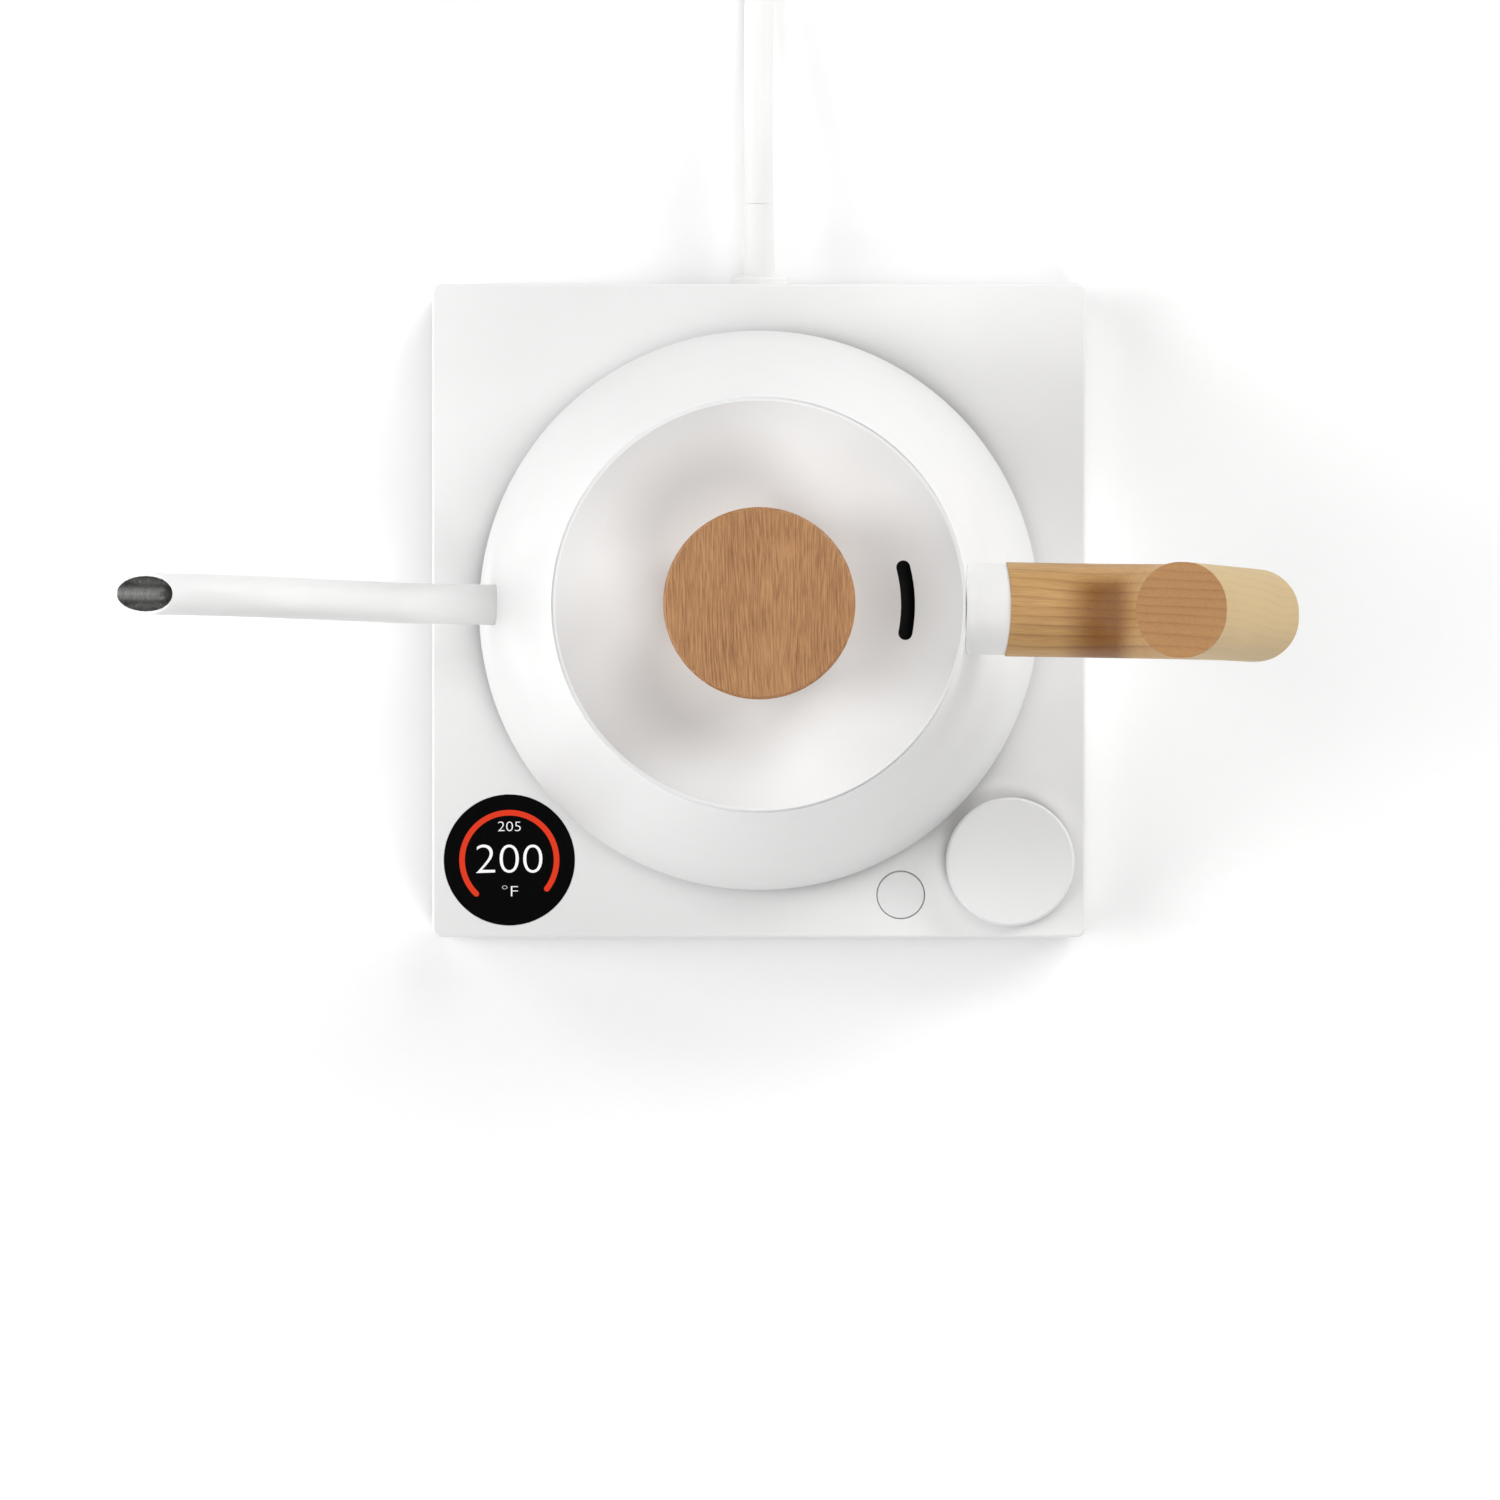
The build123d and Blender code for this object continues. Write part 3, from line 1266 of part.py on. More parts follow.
full_turns = int(coil_turns)
last_turn = 360 * (coil_turns - full_turns)
coil_bottom = tie_thickness
coil_top = coil_bottom + full_turns * cord_diameter
coil_edge = coil_rounding_share * cord_radius
with BuildPart() as cord_coil:
    with BuildSketch(Plane.XY.offset(coil_bottom)):
        with Locations(coil_centre):
            Circle(coil_radius + cord_radius)
            Circle(coil_radius - cord_radius, mode=Mode.SUBTRACT)
    extrude(amount=coil_top - coil_bottom)
    fillet(cord_coil.edges().filter_by(GeomType.CIRCLE), coil_edge)
    with BuildSketch(Plane.XY.offset(coil_top - cord_radius)):
        with Locations(coil_centre):
            SlotArc(CenterArc((0, 0), coil_radius, -coil_climb, coil_climb + last_turn), cord_diameter)
    extrude(amount=cord_radius + cord_diameter)
    fillet(cord_coil.faces().sort_by(Axis.Z)[-1].edges(), coil_edge)
save(cord_coil.part, "cord_coil")

# Tie: a flat strap round the coil's two turns.
tie_inner = (cord_diameter + tie_play[0], coil_top - coil_bottom + tie_play[1])
with BuildPart() as cord_tie:
    with BuildSketch(Plane.XZ.offset(-(coil_centre[1] + tie_width / 2))):
        with Locations((coil_centre[0] - coil_radius, tie_thickness + tie_inner[1] / 2)):
            RectangleRounded(tie_inner[0] + 2 * tie_thickness, tie_inner[1] + 2 * tie_thickness,
                             tie_corner + tie_thickness)
            RectangleRounded(tie_inner[0], tie_inner[1], tie_corner, mode=Mode.SUBTRACT)
    extrude(amount=tie_width)
save(cord_tie.part, "cord_tie")

last_level = coil_top + cord_radius
tail_y = coil_centre[1] + coil_radius
plug_middle = plug_height / 2
tail_points = [
    (coil_centre[0] - 1.0, tail_y, last_level),
    (coil_centre[0] - 13.0, tail_y + 0.3, last_level - 0.1),
    (coil_centre[0] - 27.0, tail_y - 0.1, last_level - 3.6),
    (coil_centre[0] - 41.0, tail_y, plug_middle + 0.5),
    (coil_centre[0] - 52.0, tail_y, plug_middle),
]
cord_tail = cord_tube(tail_points)
save(cord_tail, "cord_tail")
print("coil length, mm:", round(2 * pi * coil_radius * coil_turns, 1))

# Plug: a moulded three-pin plug lying flat beside the coil.
plug_start = tail_points[-1][0]
blade_level = plug_middle + blade_offset
with BuildPart() as plug_body:
    with BuildSketch(Plane(origin=(plug_start - plug_relief, tail_y, plug_middle), z_dir=(-1, 0, 0))):
        RectangleRounded(plug_height, plug_width, plug_corner)
    extrude(amount=plug_length)
    fillet(plug_body.faces().sort_by(Axis.X)[-1].edges(), plug_back_rounding)
    fillet(plug_body.faces().sort_by(Axis.X)[0].edges(), plug_face_rounding)
    with BuildSketch(Plane(origin=(plug_start - plug_relief - plug_relief_entry, tail_y, plug_middle),
                           z_dir=(1, 0, 0))):
        Circle(plug_relief_radius)
    with BuildSketch(Plane(origin=(plug_start, tail_y, plug_middle), z_dir=(1, 0, 0))):
        Circle(cord_radius + plug_relief_wall)
    loft()
save(plug_body.part, "plug_body")

plug_face = plug_start - plug_relief - plug_length
with BuildPart() as plug_pins:
    with BuildSketch(Plane(origin=(plug_face, tail_y, 0), x_dir=(0, 1, 0), z_dir=(-1, 0, 0))):
        with Locations((pin_spacing / 2, -blade_level), (-pin_spacing / 2, -blade_level)):
            Rectangle(*blade_size)
    extrude(amount=blade_length)
    with BuildSketch(Plane(origin=(plug_face, tail_y, 0), x_dir=(0, 1, 0), z_dir=(-1, 0, 0))):
        with Locations((0, -(blade_level - ground_drop))):
            Circle(ground_pin_radius)
    extrude(amount=ground_pin_length)
save(plug_pins.part, "plug_pins")
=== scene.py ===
from math import cos, radians, sin, tan

import bmesh
import bpy
from mathutils import Matrix, Vector


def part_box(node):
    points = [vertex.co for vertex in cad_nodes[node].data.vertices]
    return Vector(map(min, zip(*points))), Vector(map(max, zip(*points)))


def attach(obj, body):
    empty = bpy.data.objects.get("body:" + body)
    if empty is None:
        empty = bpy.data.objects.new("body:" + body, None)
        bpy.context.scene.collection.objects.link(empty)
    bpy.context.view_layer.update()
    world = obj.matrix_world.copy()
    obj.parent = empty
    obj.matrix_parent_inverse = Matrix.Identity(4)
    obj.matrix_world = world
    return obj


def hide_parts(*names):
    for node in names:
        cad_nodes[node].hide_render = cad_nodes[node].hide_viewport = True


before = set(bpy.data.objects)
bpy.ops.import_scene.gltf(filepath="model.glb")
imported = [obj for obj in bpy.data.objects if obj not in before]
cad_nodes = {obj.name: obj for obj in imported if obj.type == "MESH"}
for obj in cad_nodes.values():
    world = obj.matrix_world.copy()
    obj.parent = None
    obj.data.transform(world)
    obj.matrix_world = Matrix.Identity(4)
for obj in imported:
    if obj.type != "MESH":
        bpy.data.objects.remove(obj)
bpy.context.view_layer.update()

# ---------------------------------------------------------------- camera
# The kettle is looked at straight from above, three metres over the top of its base, through a long
# lens. The front edge of the base, with the display and the dial, is at the bottom.
base_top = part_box("base_housing")[1].z
camera_distance = 3.0
field_width = 0.3902         # what the view takes in across, at the level of the base's top
view_centre = (-0.0023, -0.0363)
camera_data = bpy.data.cameras.new("camera")
camera_data.sensor_width = 36.0
camera_data.lens = camera_data.sensor_width * camera_distance / field_width
camera_data.clip_start = 0.05
camera_data.clip_end = 30.0
camera = bpy.data.objects.new("camera", camera_data)
camera.location = (*view_centre, base_top + camera_distance)
bpy.context.scene.collection.objects.link(camera)
bpy.context.scene.camera = camera

# ---------------------------------------------------------------- mains cord
# A round three-core lead with a white sheath of soft PVC. It leaves the strain relief level, comes
# down on the table, runs straight back and is put away in two and a quarter stacked turns.
cord_diameter = 0.0077
cord_lift = 0.0006           # the thickness of the tie under the coil
coil_centre = (-0.043, 0.218)
coil_radius = 0.043
coil_end = 810               # degrees of winding: two and a quarter turns
coil_step = 18
climb = 60                   # degrees over which a turn climbs onto the one below
lead_points = [
    (0.0, 0.107, 0.011),
    (0.0, 0.120, 0.0107),
    (0.0, 0.143, 0.0064),
    (0.0, 0.164, 0.00395),
    (0.0012, 0.185, 0.00395),
    (0.0003, 0.203, 0.00435),
]
tail_points = [
    (-0.056, 0.2613, 0.0198),
    (-0.070, 0.2609, 0.0162),
    (-0.084, 0.2610, 0.0130),
    (-0.095, 0.2610, 0.0125),
]


def coil_height(angle):
    """Height of the cord's middle: level turns, each climbing one diameter over its last sixth."""
    turn, rest = divmod(angle, 360)
    share = min(max((rest - 360 + climb) / climb, 0.0), 1.0)
    return cord_lift + cord_diameter * (0.5 + turn + share * share * (3 - 2 * share))


def coil_point(angle):
    """A control point of the coil, far enough out for the spline to run at the coil's radius."""
    reach = coil_radius / cos(radians(coil_step) / 2)
    return (
        coil_centre[0] + reach * cos(radians(angle)),
        coil_centre[1] + reach * sin(radians(angle)),
        coil_height(angle),
    )


def soft_line(name, points, radius):
    """A curve object of one smooth open spline that has these points as its control points."""
    curve = bpy.data.curves.new(name, "CURVE")
    curve.dimensions = "3D"
    spline = curve.splines.new("NURBS")
    spline.points.add(len(points) - 1)
    for point, place in zip(spline.points, points):
        point.co = (*place, 1.0)
        point.radius = radius
    spline.order_u = 3
    spline.use_endpoint_u = True
    spline.resolution_u = 8
    made = bpy.data.objects.new(name, curve)
    bpy.context.scene.collection.objects.link(made)
    return made


coil_points = [coil_point(angle) for angle in range(coil_step // 2, coil_end, coil_step)]
mains_cord = soft_line("mains_cord", lead_points + coil_points + tail_points, cord_diameter / 2)
mains_cord.data.bevel_depth = 1.0
mains_cord.data.bevel_resolution = 7
mains_cord.data.use_fill_caps = True
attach(mains_cord, "base")
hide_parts("cord_lead", "cord_coil", "cord_tail")


def shader_node(tree, kind, sockets=None, **settings):
    """Add one shader node with its settings, and set or join its inputs by name or number."""
    made = tree.nodes.new("ShaderNode" + kind)
    for name, value in settings.items():
        setattr(made, name, value)
    for name, value in (sockets or {}).items():
        if isinstance(value, bpy.types.NodeSocket):
            tree.links.new(value, made.inputs[name])
        else:
            made.inputs[name].default_value = value
    return made


def effect_group(name, inputs, outputs):
    """Start a shader node group; returns its tree, the node with its inputs and the output node."""
    tree = bpy.data.node_groups.new(name, "ShaderNodeTree")
    for socket, kind in inputs:
        tree.interface.new_socket(socket, in_out="INPUT", socket_type="NodeSocket" + kind)
    for socket, kind in outputs:
        tree.interface.new_socket(socket, in_out="OUTPUT", socket_type="NodeSocket" + kind)
    return tree, tree.nodes.new("NodeGroupInput"), tree.nodes.new("NodeGroupOutput")


def lead_out(tree, given, result, tone, relief):
    """Lead a group out: tone mixes its two colours and swings its gloss, relief is its height."""
    colour = shader_node(tree, "Mix", {0: tone, 6: given.outputs["Colour"], 7: given.outputs["Tint"]},
                         data_type="RGBA")
    swing = shader_node(tree, "Math", {0: tone, 1: -0.5}, operation="ADD")
    rough = shader_node(tree, "Math", {0: swing.outputs[0], 1: given.outputs["Spread"],
                                       2: given.outputs["Gloss"]}, operation="MULTIPLY_ADD")
    tree.links.new(colour.outputs[2], result.inputs["Colour"])
    tree.links.new(rough.outputs[0], result.inputs["Roughness"])
    tree.links.new(relief, result.inputs["Height"])


def moulded_skin():
    """The fine skin of paint, plastic or rubber: a small even grain under a faint, broad mottle."""
    tree, given, result = effect_group(
        "moulded_skin",
        [("Colour", "Color"), ("Tint", "Color"), ("Grain", "Float"), ("Gloss", "Float"), ("Spread", "Float")],
        [("Colour", "Color"), ("Roughness", "Float"), ("Height", "Float")],
    )
    place = shader_node(tree, "TexCoord")
    grain = shader_node(tree, "TexNoise", {"Vector": place.outputs["Object"],
                                           "Scale": given.outputs["Grain"],
                                           "Detail": 3.0, "Roughness": 0.6})
    mottle = shader_node(tree, "TexNoise", {"Vector": place.outputs["Object"],
                                            "Scale": 55.0, "Detail": 4.0})
    lead_out(tree, given, result, mottle.outputs["Fac"], grain.outputs["Fac"])
    return tree


def new_finish(name, metallic=0.0, specular=0.5, coat=0.0, coat_roughness=0.1):
    """A material with a Principled shader and the values that are the same all over it."""
    made = bpy.data.materials.new(name)
    made.use_nodes = True
    shader = made.node_tree.nodes["Principled BSDF"]
    shader.inputs["Metallic"].default_value = metallic
    shader.inputs["Specular IOR Level"].default_value = specular
    shader.inputs["Coat Weight"].default_value = coat
    shader.inputs["Coat Roughness"].default_value = coat_roughness
    return made, made.node_tree, shader


def join_surface(tree, shader, colour, roughness, height, depth):
    """Lead a surface's colour, roughness and relief into its shader; depth is the relief's height."""
    tree.links.new(colour, shader.inputs["Base Color"])
    tree.links.new(roughness, shader.inputs["Roughness"])
    bump = shader_node(tree, "Bump", {"Height": height, "Distance": depth, "Strength": 1.0})
    tree.links.new(bump.outputs["Normal"], shader.inputs["Normal"])


skin_tree = moulded_skin()


def skin_finish(name, colour, tint, grain, gloss, spread, depth, **values):
    """Paint, plastic or rubber: two close colours, grains to the metre, roughness and relief."""
    made, tree, shader = new_finish(name, **values)
    skin = shader_node(tree, "Group", {"Colour": (*colour, 1), "Tint": (*tint, 1), "Grain": grain,
                                       "Gloss": gloss, "Spread": spread}, node_tree=skin_tree)
    join_surface(tree, shader, skin.outputs["Colour"], skin.outputs["Roughness"], skin.outputs["Height"],
                 depth)
    return made


def dress(material, *names):
    """Give CAD nodes a material."""
    for name in names:
        cad_nodes[name].data.materials.clear()
        cad_nodes[name].data.materials.append(material)


sheath = skin_finish("cord_sheath", (0.80, 0.80, 0.79), (0.76, 0.76, 0.75), 900.0, 0.42, 0.10, 0.00002)
mains_cord.data.materials.append(sheath)
dress(sheath, "inner_cord", "strain_relief")

# ---------------------------------------------------------------- cord tie, plug and pins
# The tie is a flat strap of grey silicone. The plug is moulded on the cord in the same white PVC, and
# its blades and round earth pin are nickel-plated brass.
tie_rubber = skin_finish("tie_silicone", (0.30, 0.30, 0.31), (0.25, 0.25, 0.26), 1400.0, 0.55, 0.12, 0.00002)
dress(tie_rubber, "cord_tie")
dress(sheath, "plug_body")


def turned_metal():
    """Metal turned or spun about the object's middle: fine rings in its colour, gloss and relief."""
    tree, given, result = effect_group(
        "turned_metal",
        [("Colour", "Color"), ("Tint", "Color"), ("Lines", "Float"), ("Gloss", "Float"), ("Spread", "Float")],
        [("Colour", "Color"), ("Roughness", "Float"), ("Height", "Float")],
    )
    place = shader_node(tree, "TexCoord")
    parts = shader_node(tree, "SeparateXYZ", {0: place.outputs["Object"]})
    flat = shader_node(tree, "CombineXYZ", {0: parts.outputs[0], 1: parts.outputs[1], 2: 0.0})
    radius = shader_node(tree, "VectorMath", {0: flat.outputs[0]}, operation="LENGTH")
    rings = shader_node(tree, "CombineXYZ", {0: radius.outputs["Value"], 1: parts.outputs[2], 2: 0.0})
    lines = shader_node(tree, "TexNoise", {"Vector": rings.outputs[0], "Scale": given.outputs["Lines"],
                                           "Detail": 5.0, "Roughness": 0.7})
    lead_out(tree, given, result, lines.outputs["Fac"], lines.outputs["Fac"])
    return tree


metal_tree = turned_metal()


def metal_finish(name, colour, tint, lines, gloss, spread, depth):
    """Bare metal: two close colours, tool lines to the metre, roughness and relief."""
    made, tree, shader = new_finish(name, metallic=1.0)
    metal = shader_node(tree, "Group", {"Colour": (*colour, 1), "Tint": (*tint, 1), "Lines": lines,
                                        "Gloss": gloss, "Spread": spread}, node_tree=metal_tree)
    join_surface(tree, shader, metal.outputs["Colour"], metal.outputs["Roughness"],
                 metal.outputs["Height"], depth)
    return made


plated_brass = metal_finish("plated_brass", (0.72, 0.68, 0.60), (0.62, 0.58, 0.50), 700.0, 0.24, 0.12,
                            0.00001)
dress(plated_brass, "plug_pins")

# ---------------------------------------------------------------- base housing
# The housing is one die-cast aluminium shell with a fine white powder coat, baked on. The coat has
# an even orange-peel grain of about half a millimetre and a satin sheen.
coat_white = (0.775, 0.775, 0.772)
coat_shade = (0.755, 0.755, 0.750)
powder_coat = skin_finish("powder_coat", coat_white, coat_shade, 1600.0, 0.48, 0.10, 0.00003)
dress(powder_coat, "base_housing")

# ---------------------------------------------------------------- underside of the base
# The bottom cover is moulded in grey plastic, with a pressed-in silicone foot ring and four
# cross-slotted steel screws.
grey_plastic = skin_finish("grey_plastic", (0.36, 0.36, 0.36), (0.32, 0.32, 0.32), 1100.0, 0.55, 0.10,
                           0.00003)
dress(grey_plastic, "base_bottom_cover", "cord_clamp", "terminal_block", "mains_leads")
foot_silicone = skin_finish("foot_silicone", (0.22, 0.22, 0.22), (0.18, 0.18, 0.18), 900.0, 0.65, 0.10,
                            0.00002)
dress(foot_silicone, "foot_ring", "lid_gasket")
zinc_steel = metal_finish("zinc_steel", (0.60, 0.60, 0.58), (0.50, 0.50, 0.48), 900.0, 0.30, 0.15, 0.00001)
dress(zinc_steel, "cover_screws", "socket_screws", "board_screws", "power_board_screws", "skirt_screws",
      "handle_screws", "knob_screw", "dial_shaft")

# ---------------------------------------------------------------- power socket and connector
# The boss in the middle of the base and the cup under the kettle are moulded in black
# glass-filled nylon. Their sleeve, ring and pin are brass.
black_nylon = skin_finish("black_nylon", (0.020, 0.020, 0.021), (0.028, 0.028, 0.029), 1300.0, 0.45,
                          0.12, 0.00003)
dress(black_nylon, "power_socket", "kettle_connector", "kettle_skirt", "display_module", "dial_encoder",
      "button_switch", "switch_plunger", "sounder", "relay", "transformer")
bright_brass = metal_finish("bright_brass", (0.80, 0.58, 0.27), (0.70, 0.48, 0.20), 700.0, 0.22, 0.12,
                            0.00001)
dress(bright_brass, "socket_contacts", "kettle_contacts")

# ---------------------------------------------------------------- circuit boards and capacitors
# Both boards are fibreglass with a green solder mask over copper tracks; the capacitors are
# aluminium cans in dark printed sleeves.
solder_mask, board_tree, board_shader = new_finish("solder_mask", coat=0.4)
board_place = shader_node(board_tree, "TexCoord")
tracks = shader_node(board_tree, "TexVoronoi", {"Vector": board_place.outputs["Object"], "Scale": 260.0},
                     distance="MANHATTAN", feature="F1")
track_edge = shader_node(board_tree, "Math", {0: tracks.outputs["Distance"], 1: 0.42},
                         operation="GREATER_THAN")
track_colour = shader_node(board_tree, "Mix", {0: track_edge.outputs[0], 6: (0.012, 0.095, 0.035, 1),
                                               7: (0.020, 0.160, 0.060, 1)}, data_type="RGBA")
weave = shader_node(board_tree, "TexNoise", {"Vector": board_place.outputs["Object"], "Scale": 900.0})
board_rough = shader_node(board_tree, "Math", {0: weave.outputs["Fac"], 1: 0.2, 2: 0.25},
                          operation="MULTIPLY_ADD")
join_surface(board_tree, board_shader, track_colour.outputs[2], board_rough.outputs[0],
             track_edge.outputs[0], 0.00003)
dress(solder_mask, "control_board", "power_board")
can_sleeve = skin_finish("can_sleeve", (0.03, 0.04, 0.07), (0.04, 0.05, 0.09), 600.0, 0.32, 0.10, 0.00001)
dress(can_sleeve, "capacitors")

# ---------------------------------------------------------------- display
# A round black glass lies flush in the base. Behind it shows the screen: a red ring for the progress,
# the wanted temperature above, the present one in the middle and its unit below.
display_glass = skin_finish("display_glass", (0.0022, 0.0022, 0.0024), (0.0030, 0.0030, 0.0032), 300.0,
                            0.12, 0.05, 0.0, specular=0.25)
dress(display_glass, "display_glass")
glass_low, glass_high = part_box("display_glass")
display_centre = (glass_low + glass_high) / 2
graphics_level = glass_high.z + 0.00001
graphics_thickness = 0.00002
ring_radius = 0.0123
ring_width = 0.00146
ring_start = radians(225.6)
ring_sweep = ring_start + radians(37.5)
ring_steps = 96
ring_end_lift = 0.000002     # the ring's round ends over the ring itself
text_thinning = -0.016       # how far the type's strokes are set in, in its own height


def screen_light(name, colour, strength):
    """Light from the screen: its colour, a little uneven from dot to dot."""
    made, tree, shader = new_finish(name, specular=0.0)
    place = shader_node(tree, "TexCoord")
    dots = shader_node(tree, "TexNoise", {"Vector": place.outputs["Object"], "Scale": 2500.0, "Detail": 1.0})
    dimmer = [channel * 0.86 for channel in colour]
    glow = shader_node(tree, "Mix", {0: dots.outputs["Fac"], 6: (*colour, 1), 7: (*dimmer, 1)},
                       data_type="RGBA")
    tree.links.new(glow.outputs[2], shader.inputs["Emission Color"])
    shader.inputs["Emission Strength"].default_value = strength
    shader.inputs["Base Color"].default_value = (0.0, 0.0, 0.0, 1)
    shader.inputs["Roughness"].default_value = 0.3
    return made


def new_piece(name, mesh, body, slot, *materials):
    """Link a finished mesh as a piece that rides on a body, with these materials; slot is not used."""
    made = bpy.data.objects.new(name, mesh)
    bpy.context.scene.collection.objects.link(made)
    for material in materials:
        mesh.materials.append(material)
    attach(made, body)
    return made


def finished_mesh(name, shape, smooth=True, closed=True):
    """Turn a bmesh into a mesh; a closed one gets its normals outward."""
    if closed:
        bmesh.ops.recalc_face_normals(shape, faces=shape.faces)
    mesh = bpy.data.meshes.new(name)
    shape.to_mesh(mesh)
    shape.free()
    mesh.polygons.foreach_set("use_smooth", [smooth] * len(mesh.polygons))
    return mesh


def thicken_flat(shape, thickness):
    """Give a flat bmesh that lies in XY its thickness, upwards."""
    raised = bmesh.ops.extrude_face_region(shape, geom=shape.faces[:])["geom"]
    corners = [part for part in raised if isinstance(part, bmesh.types.BMVert)]
    bmesh.ops.translate(shape, vec=(0, 0, thickness), verts=corners)


ring_shape = bmesh.new()
ring_middle = Vector((display_centre.x, display_centre.y, graphics_level))
ring_edge = []
for reach in (ring_radius - ring_width / 2, ring_radius + ring_width / 2):
    corner = ring_middle + reach * Vector((cos(ring_start), sin(ring_start), 0))
    ring_edge.append(ring_shape.verts.new(corner))
ring_shape.edges.new(ring_edge)
bmesh.ops.spin(ring_shape, geom=ring_shape.verts[:] + ring_shape.edges[:], cent=ring_middle, axis=(0, 0, 1),
               angle=-ring_sweep, steps=ring_steps)
for end in (ring_start, ring_start - ring_sweep):
    end_middle = ring_middle + ring_radius * Vector((cos(end), sin(end), 0))
    bmesh.ops.create_circle(ring_shape, cap_ends=True, segments=32, radius=ring_width / 2,
                            matrix=Matrix.Translation(end_middle + Vector((0, 0, ring_end_lift))))
thicken_flat(ring_shape, graphics_thickness)
new_piece("display_ring", finished_mesh("display_ring", ring_shape, smooth=False), "base", "display_glass",
          screen_light("screen_red", (0.86, 0.055, 0.022), 0.95))


def display_text(name, words, height, width, offset):
    """Figures on the screen: type made a mesh, sized to height and width, centred at an offset."""
    letters = bpy.data.curves.new(name, "FONT")
    letters.body = words
    letters.size = 1.0
    letters.resolution_u = 6
    letters.offset = text_thinning
    source = bpy.data.objects.new(name + "_type", letters)
    mesh = bpy.data.meshes.new_from_object(source)
    bpy.data.objects.remove(source)
    shape = bmesh.new()
    shape.from_mesh(mesh)
    bpy.data.meshes.remove(mesh)
    bmesh.ops.remove_doubles(shape, verts=shape.verts, dist=1e-6)
    across = [corner.co.x for corner in shape.verts]
    up = [corner.co.y for corner in shape.verts]
    scale = Vector((width / (max(across) - min(across)), height / (max(up) - min(up)), 1.0))
    to_middle = (-(max(across) + min(across)) / 2, -(max(up) + min(up)) / 2, 0)
    bmesh.ops.translate(shape, vec=to_middle, verts=shape.verts)
    bmesh.ops.scale(shape, vec=scale, verts=shape.verts)
    thicken_flat(shape, graphics_thickness)
    seat = (display_centre.x + offset[0], display_centre.y + offset[1], graphics_level)
    bmesh.ops.translate(shape, vec=seat, verts=shape.verts)
    return new_piece(name, finished_mesh(name, shape, smooth=False), "base", "display_glass", screen_white)


screen_white = screen_light("screen_white", (1.0, 1.0, 1.0), 1.05)
display_text("display_present", "200", 0.0074, 0.0172, (0.0, 0.0003))
display_text("display_wanted", "205", 0.0025, 0.0059, (0.0, 0.00874))
display_text("display_unit", "°F", 0.0028, 0.0041, (0.0002, -0.00804))

# ---------------------------------------------------------------- dial and button
# The dial is a shallow turned cap and the button a flush round one, both moulded in white plastic
# with a fine matt skin.
control_white = skin_finish("control_white", (0.74, 0.74, 0.74), (0.72, 0.72, 0.72), 1800.0, 0.42, 0.10,
                            0.00002)
dress(control_white, "dial_cap", "button_cap")

# ---------------------------------------------------------------- kettle body
# The body is a spun steel cone: bare brushed steel inside and under the floor, and outside the same
# white powder coat as the base.
body_low, body_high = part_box("kettle_body")
rim_radius = 0.0515
body_radius = (body_high.x - body_low.x) / 2
body_taper = (body_radius - rim_radius) / (body_high.z - body_low.z)
wall_middle = 0.00045        # from the body's outer skin to the middle of its wall
coated_steel, coated_tree, coated_shader = new_finish("coated_steel")
coat_skin = shader_node(coated_tree, "Group", {"Colour": (*coat_white, 1), "Tint": (*coat_shade, 1),
                                               "Grain": 1600.0, "Gloss": 0.48, "Spread": 0.10},
                        node_tree=skin_tree)
bare_steel = {"Colour": (0.62, 0.61, 0.59, 1), "Tint": (0.52, 0.51, 0.50, 1), "Lines": 1500.0,
              "Gloss": 0.30, "Spread": 0.18}
bare_skin = shader_node(coated_tree, "Group", bare_steel, node_tree=metal_tree)
body_place = shader_node(coated_tree, "TexCoord")
body_parts = shader_node(coated_tree, "SeparateXYZ", {0: body_place.outputs["Object"]})
body_flat = shader_node(coated_tree, "CombineXYZ", {0: body_parts.outputs[0], 1: body_parts.outputs[1],
                                                    2: 0.0})
body_reach = shader_node(coated_tree, "VectorMath", {0: body_flat.outputs[0]}, operation="LENGTH")
cone_reach = shader_node(coated_tree, "Math", {0: body_parts.outputs[2], 1: body_taper,
                                               2: body_reach.outputs["Value"]},
                         operation="MULTIPLY_ADD")
outside = shader_node(coated_tree, "Math", {0: cone_reach.outputs[0],
                                            1: body_radius + body_taper * body_low.z - wall_middle},
                      operation="GREATER_THAN")
body_colour = shader_node(coated_tree, "Mix", {0: outside.outputs[0], 6: bare_skin.outputs["Colour"],
                                               7: coat_skin.outputs["Colour"]}, data_type="RGBA")
body_rough = shader_node(coated_tree, "Mix", {0: outside.outputs[0], 2: bare_skin.outputs["Roughness"],
                                              3: coat_skin.outputs["Roughness"]}, data_type="FLOAT")
body_bare = shader_node(coated_tree, "Math", {0: 1.0, 1: outside.outputs[0]}, operation="SUBTRACT")
coated_tree.links.new(body_bare.outputs[0], coated_shader.inputs["Metallic"])
join_surface(coated_tree, coated_shader, body_colour.outputs[2], body_rough.outputs[0],
             coat_skin.outputs["Height"], 0.00003)
dress(coated_steel, "kettle_body")
spun_steel = metal_finish("spun_steel", (0.62, 0.61, 0.59), (0.52, 0.51, 0.50), 1500.0, 0.30, 0.18, 0.00001)
dress(spun_steel, "mouth_ring", "heating_element", "temperature_sensor")
rolled_aluminium = metal_finish("rolled_aluminium", (0.70, 0.71, 0.72), (0.60, 0.61, 0.62), 500.0, 0.38,
                                0.15, 0.00002)
dress(rolled_aluminium, "heater_plate")

